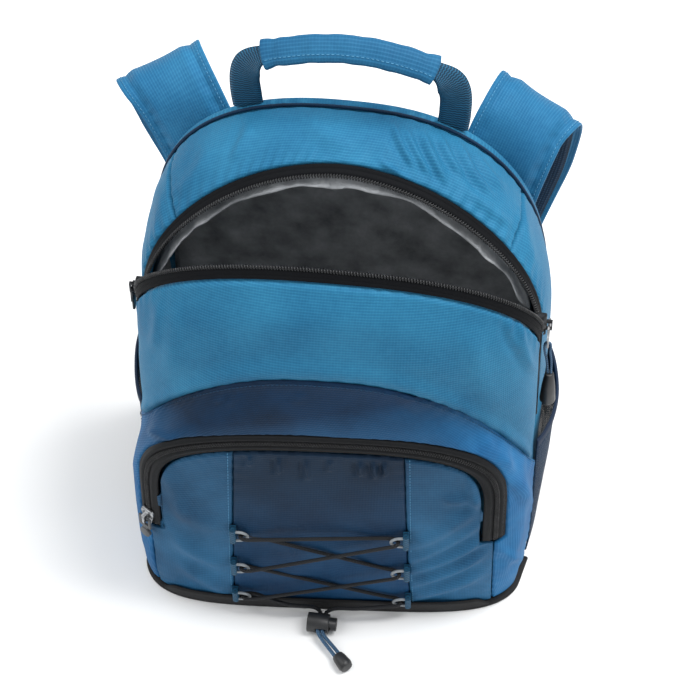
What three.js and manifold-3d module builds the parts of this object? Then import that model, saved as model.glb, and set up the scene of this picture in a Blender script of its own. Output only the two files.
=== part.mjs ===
// A soft cooler backpack that stands open and empty: a padded bag with an arched mouth zip, a laced front pocket,
// mesh side pockets, a haul handle and two shoulder straps. Millimetres, +Z up, front towards -Y.
// The origin is on the floor, under the middle of the bag's width.
import * as THREE from "three";
import { mergeVertices } from "three/addons/utils/BufferGeometryUtils.js";
import Module from "manifold-3d";

const wasm = await Module();
wasm.setup();

// Driving sizes of the bag
const bodyWidth = 282; // across the side walls
const bodyHeight = 365; // floor to the crown of the back
const backY = 78; // where the gusset ends and the back panel begins
const mouthY = -8; // centre line of the main zip on both sides
const wall = 6; // cloth with foam behind it
const cloth = 2; // pocket cloth with its facing
const gap = 0.4; // between neighbouring pieces
const backThickness = 10; // padded back panel
const baseThickness = 4; // stiffened floor panel
const rimHeight = 14; // how far the floor panel turns up in front
const rimThickness = 2;
const archStart = 205; // where the back's outline begins to curve in
const archPower = { left: 2.75, right: 2.2 }; // superellipse power of that curve
const gussetBulge = 6;
const skew = 0.084; // the front stands a little askew: forward on the left, per unit of width
const sway = 4; // and its front this far to the right

// Driving sizes of the mouth and its zip
const sliderLeftZ = 246;
const sliderRightZ = 251;
const zipEndZ = 158; // lower end of the closed stretch on each side
const zipHalf = 10; // from the coil to the edge of the tape that shows
const tapeThickness = 1.4;
const coilRadius = 1.3;
const flapTopZ = 361; // crown of the flap's edge
const flapTopY = 32;
const lipRise = 84; // crown of the front wall's edge over the sliders
const frontDepth = 60; // front wall forward of the zip at its belly
const linerThickness = 1;
const linerGap = 1.8;

// Driving sizes of the front pocket
const pocketDepth = 76; // front of the pocket forward of the zip
const seamTopZ = 262; // crown of the seam that joins the pocket to the front wall
const seamLeftZ = 140;
const seamRightZ = 122;
const pocketZipTop = 204; // crown of the pocket zip's centre line
const pocketZipTurn = 128; // where its legs turn into the arch
const pocketZipEnd = 92; // lower ends of its legs
const pocketZipInset = 16; // from the side walls to its legs
const pocketZipHalf = 9;
const centreHalf = 61; // half the width of the pocket's middle panel
const cordDrop = 30; // from the right pull's hole to the grip on its cord

// Driving sizes of the trim
const laceRadius = 1.4;
const ringWire = 1.1; // radius of the lace rings' wire
const ringReach = 10;
const ringHalf = 5;
const ringOff = 5.2; // ring's middle to the pocket's face
const ringTopZ = 103;
const ringMiddleZ = 62;
const ringBottomZ = 22;
const webWidth = 22;
const webThickness = 2;
const gripWidth = 26;
const gripThickness = 9;
const gripLength = 118;
const handleRise = 46; // grip's middle over the bag's crown
const handleHalf = 70; // middle of the bag to the middle of a handle root
const strapReach = 71; // how far the straps stand off the back panel
const strapWidth = 66;
const strapThickness = 8;
const liningThickness = 1.2;
const meshThickness = 1.2;
const meshTopZ = 138;
const bindingHeight = 8;
const netSwell = 11.5; // how far the net stands off the bag at its top
const anchorInset = 29; // from the side walls to the middle of the straps' webbing at the foot
const buckleWidth = 31;
const buckleLength = 27;
const buckleThickness = 3.6;
const pullLength = 24;
const pullWidth = 7;
const pullThickness = 1.6;

const V = (x, y, z) => new THREE.Vector3(x, y, z);
const lerp = THREE.MathUtils.lerp;
const clamp = THREE.MathUtils.clamp;
const floorZ = baseThickness + gap; // where the walls start
const bodyHalf = bodyWidth / 2;
const pocketZipAcross = bodyHalf - pocketZipInset; // half the distance between the pocket zip's legs

// A sine or cosine raised to 2 / power: with both, a point runs along a superellipse.
function bent(value, power) {
  return Math.sign(value) * Math.abs(value) ** (2 / power);
}

// Reads a column of a table of sections at a share, eased between its rows.
function column(rows, key, share) {
  const t = clamp(share, rows[0].up, rows.at(-1).up);
  const i = Math.max(1, rows.findIndex((row) => row.up >= t));
  const [a, b] = [rows[i - 1], rows[i]];
  const before = rows[i - 2] ?? a;
  const after = rows[i + 1] ?? b;
  const span = b.up - a.up;
  const x = (t - a.up) / span;
  const slopeA = ((b[key] - before[key]) / (b.up - before.up)) * span;
  const slopeB = ((after[key] - a[key]) / (after.up - a.up)) * span;
  const [x2, x3] = [x * x, x * x * x];
  return (
    (2 * x3 - 3 * x2 + 1) * a[key] + (x3 - 2 * x2 + x) * slopeA + (3 * x2 - 2 * x3) * b[key] + (x3 - x2) * slopeB
  );
}

// The front wall by height: up is a share of its height, deep of frontDepth.
const frontRows = [
  { up: 0, deep: 0.8 },
  { up: 0.12, deep: 0.86 },
  { up: 0.4, deep: 0.9 },
  { up: 0.62, deep: 0.96 },
  { up: 0.77, deep: 1 },
  { up: 0.9, deep: 0.83 },
  { up: 1, deep: 0.53 },
];

// Half the bag's width by height: up is a share of archStart, half of bodyHalf.
const sideRows = [
  { up: 0, half: 0.985 },
  { up: 0.15, half: 1 },
  { up: 0.5, half: 1.005 },
  { up: 1, half: 1 },
];

// The pocket by height: up is a share of seamTopZ, deep of pocketDepth, wide of the bag's own width.
const pocketRows = [
  { up: 0, deep: 0.95, wide: 1.005 },
  { up: 0.15, deep: 1.01, wide: 1.02 },
  { up: 0.45, deep: 1.01, wide: 1.02 },
  { up: 0.7, deep: 0.95, wide: 1.015 },
  { up: 0.8, deep: 0.94, wide: 1.01 },
  { up: 0.92, deep: 0.97, wide: 1 },
  { up: 1, deep: 0.9, wide: 0.99 },
];
const pocketPower = 4.6;
const frontPower = 3;
const lipPower = 2.5;

// Half the bag's width at a height, the same for all its walls
const halfAt = (z) => bodyHalf * column(sideRows, "half", z / archStart);

// Eases from 0 to 1 while t goes from a to b.
const ease = (a, b, t) => THREE.MathUtils.smoothstep((t - a) / (b - a), 0, 1);

// How far the bag has moved to the right at a depth: its back stands straight.
const swayAt = (y) => sway * ease(backY, mouthY, y);

// Line that the outer face of the front wall starts from on both sides
const frontStartY = mouthY - zipHalf - gap;

// Height of the front wall's edge: s is 0 at the left slider and 1 at the right one.
function lipZ(s) {
  return lerp(sliderLeftZ, sliderRightZ, s) + lipRise * Math.sin(Math.PI * s) ** 0.9;
}

// The front wall's outer face at a height: s runs from the left zip round the front to the right zip.
function frontAt(s, z) {
  const t = clamp((z - floorZ) / (lipZ(s) - floorZ), 0, 1);
  const power = lerp(frontPower, lipPower, t);
  const forward = bent(Math.sin(Math.PI * s), power);
  const x = -halfAt(z) * bent(Math.cos(Math.PI * s), power);
  const deep = frontDepth * column(frontRows, "deep", t);
  const y = frontStartY - deep * forward + skew * (1 - 0.8 * t * t) * x * forward;
  return V(x + swayAt(y), y, z);
}

const frontSurface = (s, t) => frontAt(s, lerp(floorZ, lipZ(s), t));

// A point of a face moved out along the face's normal
function offset(face, s, z, lift) {
  const step = 1e-3;
  const along = face(Math.min(s + step, 1), z).sub(face(Math.max(s - step, 0), z));
  const up = face(s, z + 0.5).sub(face(s, z - 0.5));
  return face(s, z).addScaledVector(along.cross(up).normalize(), lift);
}

// Both edges of the gusset run one way round: from the left floor corner up, over the crown and down to the right.
// The legs are straight and the arch is a superellipse.
const legShare = 0.28;
const flapPower = { left: 1.85, right: 1.85 };
function overTheTop(u, turnLeftZ, turnRightZ, crownZ, crownY, legY, power) {
  const arch = clamp((u - legShare) / (1 - 2 * legShare), 0, 1);
  const turnZ = lerp(turnLeftZ, turnRightZ, arch);
  const bend = lerp(power.left, power.right, arch);
  const up = bent(Math.sin(Math.PI * arch), bend);
  const x = -halfAt(turnZ) * bent(Math.cos(Math.PI * arch), bend);
  if (u >= legShare && u <= 1 - legShare) {
    return V(x, lerp(legY(turnZ), crownY, up ** 1.3), turnZ + (crownZ - turnZ) * up);
  }
  const z = lerp(floorZ, turnZ, (u < 0.5 ? u : 1 - u) / legShare);
  return V(Math.sign(u - 0.5) * halfAt(z), legY(z), z);
}

const backEdge = (u) => overTheTop(u, archStart, archStart, bodyHeight, backY, () => backY, archPower);

// The gusset's front edge leaves room for the zip, and closes up with the front wall under the zip's end.
const zipStep = 6;
const gussetY = (z) =>
  lerp(frontStartY + gap, mouthY + zipHalf + gap, ease(zipEndZ - zipStep, zipEndZ - gap, z));
const flapEdge = (u) => overTheTop(u, sliderLeftZ, sliderRightZ, flapTopZ, flapTopY, gussetY, flapPower);

// The gusset's outer face: v runs from the back panel to the zip.
function gussetSurface(u, v) {
  const a = backEdge(u);
  const b = flapEdge(u);
  const out = V(a.x, 0, Math.max(0, a.z - archStart) * 1.6).normalize();
  const swell = gussetBulge * ease(0, legShare, Math.min(u, 1 - u)) * Math.sin(Math.PI * v);
  const p = a.lerp(b, v).addScaledVector(out, swell);
  return p.setX(p.x + swayAt(p.y));
}

// Height of the seam that joins the pocket to the front wall
const pocketSide = 0.03; // where the pocket's sides are sewn on, as a share of the way round
const seamZ = (s) => lerp(seamLeftZ, seamRightZ, s) + (seamTopZ - lerp(seamLeftZ, seamRightZ, s)) *
  Math.sin(Math.PI * s) ** 1.5;

const faceSway = (forward) => sway * (1 - 0.75 * forward);

// The pocket's outer face, which lies down on the front wall at its sides and seam
function pocketAt(s, z) {
  const up = z / seamTopZ;
  const forward = bent(Math.sin(Math.PI * s), pocketPower);
  const x = -halfAt(z) * column(pocketRows, "wide", up) * bent(Math.cos(Math.PI * s), pocketPower);
  const y = frontStartY - pocketDepth * column(pocketRows, "deep", up) * forward + skew * x * forward;
  const t = (z - floorZ) / (seamZ(s) - floorZ);
  const side = Math.min(s, 1 - s);
  const free = (1 - ease(0.8, 1, t)) * ease(pocketSide, 0.1, side);
  return offset(frontAt, s, z, cloth + gap).lerp(V(x + faceSway(forward), y, z), free);
}

// Share of the way round at which the pocket's face is x from the middle
function pocketShare(x, z) {
  const half = halfAt(z) * column(pocketRows, "wide", z / seamTopZ);
  const share = (from) => {
    const angle = Math.acos(Math.min(1, Math.abs(from) / half) ** (pocketPower / 2));
    return (from < 0 ? angle : Math.PI - angle) / Math.PI;
  };
  const forward = bent(Math.sin(Math.PI * share(x)), pocketPower);
  return share(x - faceSway(forward));
}

// The pocket zip's centre line: u runs as on the gusset.
function pocketZipLine(u) {
  const arch = clamp((u - legShare) / (1 - 2 * legShare), 0, 1);
  if (u >= legShare && u <= 1 - legShare) {
    const x = -pocketZipAcross * bent(Math.cos(Math.PI * arch), 3);
    return { x, z: pocketZipTurn + (pocketZipTop - pocketZipTurn) * bent(Math.sin(Math.PI * arch), 3) };
  }
  const leg = (u < 0.5 ? u : 1 - u) / legShare;
  return { x: Math.sign(u - 0.5) * pocketZipAcross, z: lerp(floorZ, pocketZipTurn, leg) };
}

// Where the line beside the pocket zip runs at a distance from its centre line: positive is outwards.
function besideZip(u, distance) {
  const step = 2e-3;
  const at = pocketZipLine(u);
  const [a, b] = [pocketZipLine(Math.max(0, u - step)), pocketZipLine(Math.min(1, u + step))];
  const s = pocketShare(at.x, at.z);
  const along = pocketAt(pocketShare(b.x, b.z), b.z).sub(pocketAt(pocketShare(a.x, a.z), a.z)).normalize();
  const perS = pocketAt(s + step, at.z).sub(pocketAt(s - step, at.z)).multiplyScalar(0.5 / step);
  const perZ = pocketAt(s, at.z + 0.5).sub(pocketAt(s, at.z - 0.5));
  const side = perS.clone().cross(perZ).normalize().cross(along);
  return [
    s + (distance * side.dot(perS)) / perS.lengthSq(),
    at.z + (distance * side.dot(perZ)) / perZ.lengthSq(),
  ];
}

// Half the room that the pocket zip takes: under its ends the two cloths close up.
const pocketRoom = (u) =>
  lerp(gap / 2, pocketZipHalf + gap, ease(pocketZipEnd - zipStep, pocketZipEnd - gap, pocketZipLine(u).z));

const mix = ([a, b], [c, d], t) => [lerp(a, c, t), lerp(b, d, t)];

function pocketGussetSurface(u, v) {
  const arch = clamp((u - legShare) / (1 - 2 * legShare), 0, 1);
  const s = lerp(pocketSide, 1 - pocketSide, arch);
  const leg = clamp(Math.min(u, 1 - u) / legShare, 0, 1);
  const outer = [s, leg < 1 ? lerp(floorZ, seamZ(s), leg) : seamZ(s)];
  return pocketAt(...mix(outer, besideZip(u, pocketRoom(u)), v));
}

// The pocket's panels run up to the zip's inner side. Their seams flare a little to the floor.
const topShare = (arch) => lerp(legShare, 1 - legShare, arch);
const seamArch = Math.acos((centreHalf / pocketZipAcross) ** (3 / 2)) / Math.PI;
const footFlare = 1.07;
const pocketFace = (x, z) => pocketAt(pocketShare(x, z), z);

// A place beside the pocket zip as its distance from the middle and its height
function insideZip(u) {
  const [s, z] = besideZip(u, -pocketRoom(0.5) - 4 * gap);
  const half = halfAt(z) * column(pocketRows, "wide", z / seamTopZ);
  const forward = bent(Math.sin(Math.PI * s), pocketPower);
  return [faceSway(forward) - half * bent(Math.cos(Math.PI * s), pocketPower), z];
}

function pocketCentreSurface(u, v) {
  const x = lerp(-centreHalf, centreHalf, u) * footFlare;
  return pocketFace(...mix([x, floorZ], insideZip(topShare(lerp(seamArch, 1 - seamArch, u))), v));
}

// A side panel of the pocket's face: hand is -1 on the left and 1 on the right, u runs from the zip's leg inwards. It
// has level rows up to the zip's end.
const panelStep = (z) => (z - floorZ) / (pocketZipTurn - floorZ);
const panelEnd = panelStep(pocketZipEnd - gap);
function pocketPanelSurface(hand, u, v) {
  const share = topShare(seamArch * u);
  const [topX, topZ] = insideZip(hand < 0 ? share : 1 - share);
  const footX = lerp(pocketZipAcross - gap, centreHalf * footFlare + gap, u) * hand;
  const endZ = pocketZipEnd - gap;
  const z = v < panelEnd ? lerp(floorZ, endZ, v / panelEnd) : lerp(endZ, topZ, (v - panelEnd) / (1 - panelEnd));
  const leg = ease(pocketZipEnd - zipStep, endZ, z);
  const rise = (z - floorZ) / (topZ - floorZ);
  return pocketFace(lerp(footX, topX + hand * gap * u, lerp(leg, rise, ease(0, 0.4, u))), z);
}

// A closed wall: its outer face lies sink behind surface(u, v), its inner face a thickness behind that.
function wallGeometry(surface, us, vs, thickness, { flip = false, sink = 0 } = {}) {
  const step = 1e-3;
  const positions = [];
  const grid = us.length * vs.length;
  for (const depth of [sink, sink + thickness]) {
    for (const v of vs) {
      for (const u of us) {
        const du = surface(Math.min(u + step, us.at(-1)), v).sub(surface(Math.max(u - step, us[0]), v));
        const dv = surface(u, Math.min(v + step, vs.at(-1))).sub(surface(u, Math.max(v - step, vs[0])));
        const normal = du.cross(dv).normalize();
        const p = surface(u, v).addScaledVector(normal, flip ? depth : -depth);
        positions.push(p.x, p.y, p.z);
      }
    }
  }
  const at = (i, j) => j * us.length + i;
  const [lastU, lastV] = [us.length - 1, vs.length - 1];
  const faces = [];
  for (let j = 0; j < lastV; j++) {
    for (let i = 0; i < lastU; i++) {
      const [a, b, c, d] = [at(i, j), at(i + 1, j), at(i + 1, j + 1), at(i, j + 1)];
      faces.push([a, b, c], [a, c, d], [a + grid, c + grid, b + grid], [a + grid, d + grid, c + grid]);
    }
  }
  const rim = [];
  for (let i = 0; i < lastU; i++) rim.push(at(i, 0));
  for (let j = 0; j < lastV; j++) rim.push(at(lastU, j));
  for (let i = lastU; i > 0; i--) rim.push(at(i, lastV));
  for (let j = lastV; j > 0; j--) rim.push(at(0, j));
  rim.forEach((p, i) => {
    const q = rim[(i + 1) % rim.length];
    faces.push([q, p, p + grid], [q, p + grid, q + grid]);
  });
  return facesGeometry(positions, flip ? faces.map(([a, b, c]) => [a, c, b]) : faces);
}

function facesGeometry(positions, faces) {
  const geometry = new THREE.BufferGeometry();
  geometry.setAttribute("position", new THREE.Float32BufferAttribute(positions, 3));
  geometry.setIndex(faces.flat());
  return geometry;
}

const even = (n, from = 0, to = 1) => Array.from({ length: n + 1 }, (_, i) => lerp(from, to, i / n));
// Stations that crowd towards both ends.
const crowded = (n, from = 0, to = 1) => even(n).map((t) => lerp(from, to, 0.5 - 0.5 * Math.cos(Math.PI * t)));

// Solids for joining and cutting
function toSolid(geometry) {
  const bare = new THREE.BufferGeometry().setAttribute("position", geometry.getAttribute("position"));
  if (geometry.index) bare.setIndex(geometry.index);
  const merged = mergeVertices(bare, 1e-3);
  return new wasm.Manifold(
    new wasm.Mesh({
      numProp: 3,
      vertProperties: merged.attributes.position.array,
      triVerts: new Uint32Array(merged.index.array),
    }),
  );
}

function fromSolid(solid) {
  const mesh = solid.getMesh();
  const geometry = new THREE.BufferGeometry();
  geometry.setAttribute("position", new THREE.BufferAttribute(new Float32Array(mesh.vertProperties), 3));
  geometry.setIndex(new THREE.BufferAttribute(new Uint32Array(mesh.triVerts), 1));
  return geometry;
}

const joined = (...geometries) => fromSolid(geometries.map(toSolid).reduce((a, b) => a.add(b)));
const cut = (geometry, ...tools) => fromSolid(tools.map(toSolid).reduce((a, b) => a.subtract(b), toSolid(geometry)));

// A band swept along a smooth line: rows hold its points and the directions that its width runs in.
const bandSection = [
  [-0.5, 0], [-0.46, 0.34], [-0.38, 0.5], [0.38, 0.5], [0.46, 0.34], [0.5, 0], [0.46, -0.34], [0.38, -0.5],
  [-0.38, -0.5], [-0.46, -0.34],
];
const flatSection = [[-0.5, -0.5], [-0.5, 0.5], [0.5, 0.5], [0.5, -0.5]];

function bandStations(points, across, steps) {
  const line = new THREE.CatmullRomCurve3(points, false, "centripetal");
  const aim = new THREE.CatmullRomCurve3(across, false, "centripetal");
  return even(steps).map((t) => {
    const along = line.getTangent(t);
    const side = aim.getPoint(t).projectOnPlane(along).normalize();
    return { centre: line.getPoint(t), side, out: side.clone().cross(along).normalize() };
  });
}

// A closed solid between the copies of a section at each station: place(i, w, h) says where its points go. The first
// point of the section sees all the others. Both sides of a twisted band are split along the same diagonals.
function sweep(count, section, place) {
  const positions = [];
  for (let i = 0; i < count; i++) {
    for (const [w, h] of section) {
      const p = place(i, w, h);
      positions.push(p.x, p.y, p.z);
    }
  }
  const n = section.length;
  const last = count - 1;
  const faces = [];
  for (let i = 0; i < last; i++) {
    for (let k = 0; k < n; k++) {
      const [a, b] = [i * n + k, i * n + ((k + 1) % n)];
      const rising = section[k][0] <= section[(k + 1) % n][0];
      faces.push(...(rising ? [[a, b, b + n], [a, b + n, a + n]] : [[a, b, a + n], [b, b + n, a + n]]));
    }
  }
  for (let k = 1; k < n - 1; k++) {
    faces.push([0, k + 1, k], [last * n, last * n + k, last * n + k + 1]);
  }
  const geometry = facesGeometry(positions, faces);
  return toSolid(geometry).volume() > 0 ? geometry : facesGeometry(
    positions,
    faces.map(([a, b, c]) => [a, c, b]),
  );
}

function bandGeometry(stations, width, thickness, section = flatSection, lift = 0) {
  return sweep(stations.length, section, (i, w, h) => {
    const { centre, side, out } = stations[i];
    const wide = typeof width === "function" ? width(i / (stations.length - 1)) : width;
    return centre.clone().addScaledVector(side, w * wide).addScaledVector(out, h * thickness + lift);
  });
}

// A round cord along a smooth line, with the same number of stations between each two of its points
function cordGeometry(points, radius, perSpan, sides = 6) {
  const curve = new THREE.CatmullRomCurve3(points, false, "centripetal");
  const steps = perSpan * (points.length - 1);
  const ways = even(steps).map((t) => curve.getTangent(t));
  let side = V(0.31, 0.17, 0.94).projectOnPlane(ways[0]).normalize();
  const frames = ways.map((way, i) => {
    side = side.clone().projectOnPlane(way).normalize();
    return { centre: curve.getPoint(i / steps), side, out: side.clone().cross(way) };
  });
  const section = even(sides).slice(1).map((t) => [Math.cos(2 * Math.PI * t), Math.sin(2 * Math.PI * t)]);
  return bandGeometry(frames, radius, radius, section);
}

const box = (w, d, h, x, y, z) => new THREE.BoxGeometry(w, d, h).translate(x, y, z);

const cooler = new THREE.Group();
cooler.name = "cooler_backpack";
const colours = {
  blue: 0x2f6f98,
  navy: 0x14304a,
  black: 0x16181b,
  silver: 0xb4b8bb,
  steel: 0x9a9da0,
  grey: 0x8d9296,
};

function add(name, geometry, colour, roughness = 0.8, metalness = 0) {
  const bare = geometry.index ? geometry.toNonIndexed() : geometry.clone();
  bare.deleteAttribute("uv");
  bare.deleteAttribute("normal");
  const clean = mergeVertices(bare, 1e-4);
  clean.computeVertexNormals();
  const material = new THREE.MeshStandardMaterial({ color: colours[colour], roughness, metalness, flatShading: true });
  const mesh = new THREE.Mesh(clean, material);
  mesh.name = name;
  cooler.add(mesh);
}

// Main body: front wall, gusset in three pieces, back panel
const frontSteps = even(22);
add("front_panel", wallGeometry(frontSurface, frontSteps, [0, 0.2, 0.4, 0.6, 0.75, 0.88, 1], wall), "blue");

const topSeam = 0.36; // share of the way at which the gusset's side pieces are sewn to its top piece
const legU = (z, turn) => (legShare * (z - floorZ)) / (turn - floorZ);
const gussetLegSteps = (turn) => [
  ...even(2, 0, legU(zipEndZ - zipStep, turn)),
  ...even(2, legU(zipEndZ - gap, turn), legShare),
  ...even(3, legShare, topSeam).slice(1),
];
const toRight = (steps) => steps.map((u) => 1 - u).reverse();
const topGap = gap / 500;
const gussetAcross = even(4);
add(
  "gusset_left",
  wallGeometry(gussetSurface, gussetLegSteps(sliderLeftZ), gussetAcross, wall, { flip: true }),
  "blue",
);
add(
  "gusset_right",
  wallGeometry(gussetSurface, toRight(gussetLegSteps(sliderRightZ)), gussetAcross, wall, { flip: true }),
  "blue",
);
const topSteps = even(14, topSeam + topGap, 1 - topSeam - topGap);
add("gusset_top", wallGeometry(gussetSurface, topSteps, gussetAcross, wall, { flip: true }), "blue");

const backOutline = new THREE.Shape(
  [
    ...even(2, 0, legShare),
    ...even(20, legShare, 1 - legShare).slice(1, -1),
    ...even(2, 1 - legShare, 1),
  ].map((u) => {
    const p = backEdge(u);
    return new THREE.Vector2(p.x, p.z);
  }),
);
const plate = (shape, depth, bevel) =>
  new THREE.ExtrudeGeometry(shape, {
    depth: depth - 2 * bevel,
    bevelSize: bevel,
    bevelThickness: bevel,
    bevelOffset: -bevel,
    bevelSegments: 1,
  }).translate(0, 0, bevel);
add(
  "back_panel",
  plate(backOutline, backThickness, 2.5).rotateX(Math.PI / 2).translate(0, backY + gap + backThickness, 0),
  "blue",
);

// Floor panel with a rim turned up in front
const rimSide = 0.25;
const rimClear = 1;
const rimFace = (s, z) => offset(pocketAt, s, z, rimClear + rimThickness);
const rimSurface = (s, t) => {
  const side = Math.min(s - rimSide, 1 - rimSide - s) / 0.06;
  return rimFace(s, lerp(baseThickness / 2, rimHeight * lerp(0.45, 1, ease(0, 1, side)), t));
};
const footSteps = even(14, rimSide, 1 - rimSide);
const footHalf = halfAt(0) + cloth + gap;
const footOutline = new THREE.Shape([
  new THREE.Vector2(-footHalf, frontStartY - 16),
  ...even(22, 0.04, 0.96).map((s) => {
    const p = rimFace(s, floorZ);
    return new THREE.Vector2(p.x, p.y);
  }),
  new THREE.Vector2(footHalf, frontStartY - 16),
  new THREE.Vector2(footHalf, backY),
  new THREE.Vector2(footHalf - 6, backY + backThickness),
  new THREE.Vector2(-footHalf + 6, backY + backThickness),
  new THREE.Vector2(-footHalf, backY),
]);
const floorPlate = new THREE.ExtrudeGeometry(footOutline, { depth: baseThickness, bevelEnabled: false });
add("base_panel", joined(floorPlate, wallGeometry(rimSurface, footSteps, even(1), rimThickness)), "black", 0.6);

// Liner: skins close behind the walls, of which the edge shows in the mouth
const linerSink = wall + linerGap;
const linerFront = (s, t) => frontAt(s, lerp(floorZ + linerSink, lipZ(s) - linerThickness, t));
add(
  "liner_front",
  wallGeometry(linerFront, frontSteps, even(5), linerThickness, { sink: linerSink }),
  "silver",
  0.35,
  0.3,
);
const linerSteps = [
  ...even(4, 0.01, legShare),
  ...even(14, legShare, 1 - legShare).slice(1, -1),
  ...even(4, 1 - legShare, 0.99),
];
const linerShell = { flip: true, sink: linerSink };
add(
  "liner_gusset",
  wallGeometry(gussetSurface, linerSteps, even(2, 0.06, 0.99), linerThickness, linerShell),
  "silver",
  0.35,
  0.3,
);
const linerInset = linerSink + linerThickness + 1.5;
const shrink = (p) => {
  const share = (bodyHalf - linerInset) / bodyHalf;
  return new THREE.Vector2(
    p.x * share,
    Math.max(floorZ + 3, p.y > archStart ? archStart + (p.y - archStart) * share : p.y),
  );
};
const linerBack = new THREE.Shape(backOutline.getPoints().map(shrink));
add(
  "liner_back",
  new THREE.ExtrudeGeometry(linerBack, { depth: linerThickness, bevelEnabled: false })
    .rotateX(Math.PI / 2)
    .translate(0, backY, 0),
  "silver",
  0.35,
  0.3,
);
const linerFloorHalf = bodyHalf - linerInset - 2;
const linerFloor = new THREE.Shape([
  new THREE.Vector2(-linerFloorHalf, backY - 2),
  ...even(12, 0.06, 0.94).map((s) => {
    const p = offset(frontAt, s, floorZ + 1, -linerInset);
    return new THREE.Vector2(p.x * 0.995, p.y);
  }),
  new THREE.Vector2(linerFloorHalf, backY - 2),
]);
add(
  "liner_floor",
  new THREE.ExtrudeGeometry(linerFloor, { depth: linerThickness, bevelEnabled: false }).translate(0, 0, floorZ),
  "silver",
  0.35,
  0.3,
);

// Main zip: one half is sewn to the flap's edge, the other to the front wall's, and they close below the sliders.
const stepU = 1e-3;
function normalOf(surface, u, v, sign) {
  const du = surface(Math.min(1, u + stepU), v).sub(surface(Math.max(0, u - stepU), v));
  const dv = surface(u, Math.min(1, v + stepU)).sub(surface(u, Math.max(0, v - stepU)));
  return du.cross(dv).normalize().multiplyScalar(sign);
}
const upperRow = (u) => ({ edge: gussetSurface(u, 1), out: normalOf(gussetSurface, u, 1, -1), hand: -1 });
const upperRows = [
  ...even(3, legU(zipEndZ, sliderLeftZ), legShare).slice(0, -1),
  ...even(20, legShare, 1 - legShare),
  ...even(3, 1 - legShare, 1 - legU(zipEndZ, sliderRightZ)).slice(1),
].map(upperRow);
const lowerLeg = (s, z) => ({ edge: frontAt(s, z), out: V(s < 0.5 ? -1 : 1, 0, 0), hand: 1 });
const lowerRows = [
  ...even(3, zipEndZ, sliderLeftZ).slice(0, -1).map((z) => lowerLeg(0, z)),
  ...[0, 0.02, ...frontSteps.slice(1, -1), 0.98, 1].map((s) => ({
    edge: frontSurface(s, 1),
    out: normalOf(frontSurface, clamp(s, 0.01, 0.99), 1, 1),
    hand: 1,
  })),
  ...even(3, sliderRightZ, zipEndZ).slice(1).map((z) => lowerLeg(1, z)),
];

// One half of the zip, tape and coil in one section, grown by an amount to serve as a cutter
function zipHalfGeometry(rows, grow = 0) {
  const coil = zipHalf + gap / 2 - coilRadius; // from the wall's edge to the coil's middle
  const r = coilRadius + grow;
  const [under, over] = [-0.4 - tapeThickness - grow, -0.4 + grow];
  const section = [
    [coil - r, over],
    [gap - grow, over],
    [gap - grow, under],
    [coil - r, under],
    [coil - r / 2, -0.8 - r],
    [coil + r / 2, -0.8 - r],
    [coil + r, -0.8],
    [coil + r / 2, -0.8 + r],
    [coil - r / 2, -0.8 + r],
  ];
  const stations = rows.map(({ edge, out, hand }, i) => {
    const along = rows[Math.min(rows.length - 1, i + 1)].edge.clone().sub(rows[Math.max(0, i - 1)].edge);
    return { edge, side: out.clone().cross(along).normalize().multiplyScalar(hand), out };
  });
  return sweep(stations.length, section, (i, w, h) => {
    const { edge, side, out } = stations[i];
    return edge.clone().addScaledVector(side, w).addScaledVector(out, h);
  });
}
add("main_zip_upper", zipHalfGeometry(upperRows), "black");
add("main_zip_lower", zipHalfGeometry(lowerRows), "black");

// Pocket: gusset, panels, closed zip
const pocketU = (z) => legU(z, pocketZipTurn);
const coarseLegs = [
  ...even(2, 0, pocketU(pocketZipEnd - zipStep)),
  ...even(2, pocketU(pocketZipEnd - gap), legShare),
];
const pocketSteps = [...coarseLegs, ...even(18, legShare, 1 - legShare).slice(1, -1), ...toRight(coarseLegs)];
add("pocket_gusset", wallGeometry(pocketGussetSurface, pocketSteps, even(4), cloth, { flip: true }), "navy");
add("pocket_panel_centre", wallGeometry(pocketCentreSurface, even(6), even(6), cloth), "navy");
const panelSteps = [...even(3, 0, panelStep(pocketZipEnd - zipStep)), ...even(3, panelEnd, 1)];
add(
  "pocket_panel_left",
  wallGeometry((u, v) => pocketPanelSurface(-1, u, v), even(5), panelSteps, cloth),
  "navy",
);
add(
  "pocket_panel_right",
  wallGeometry((u, v) => pocketPanelSurface(1, 1 - u, v), even(5), panelSteps, cloth),
  "navy",
);

const pocketZipSteps = [
  ...even(2, pocketU(pocketZipEnd), legShare),
  ...even(18, legShare, 1 - legShare).slice(1, -1),
  ...even(2, 1 - legShare, 1 - pocketU(pocketZipEnd)),
];
const pocketTape = (u, v) => pocketAt(...besideZip(u, -v * pocketZipHalf));
const pocketTapeOut = pocketZipSteps.map((u) => [-1, 0, 1].map((v) => {
  const du = pocketTape(u + stepU, v).sub(pocketTape(u - stepU, v));
  return pocketTape(u, v + 0.05).sub(pocketTape(u, v - 0.05)).cross(du).normalize();
}));
function pocketZip(grow = 0) {
  const edge = 1 + grow / pocketZipHalf;
  const r = coilRadius + grow;
  const [under, over] = [-0.4 - tapeThickness - grow, -0.4 + grow];
  const ridge = (1.6 * r) / pocketZipHalf;
  const section = [
    [0, under],
    [edge, under],
    [edge, over],
    [ridge, over],
    [ridge / 2, -0.8 + r],
    [-ridge / 2, -0.8 + r],
    [-ridge, over],
    [-edge, over],
    [-edge, under],
  ];
  return sweep(pocketZipSteps.length, section, (i, v, h) => {
    const out = pocketTapeOut[i][Math.abs(v) < 0.5 ? 1 : 1 + Math.sign(v)];
    return pocketTape(pocketZipSteps[i], v).addScaledVector(out, h);
  });
}
add("pocket_zip", pocketZip(), "black");

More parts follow.
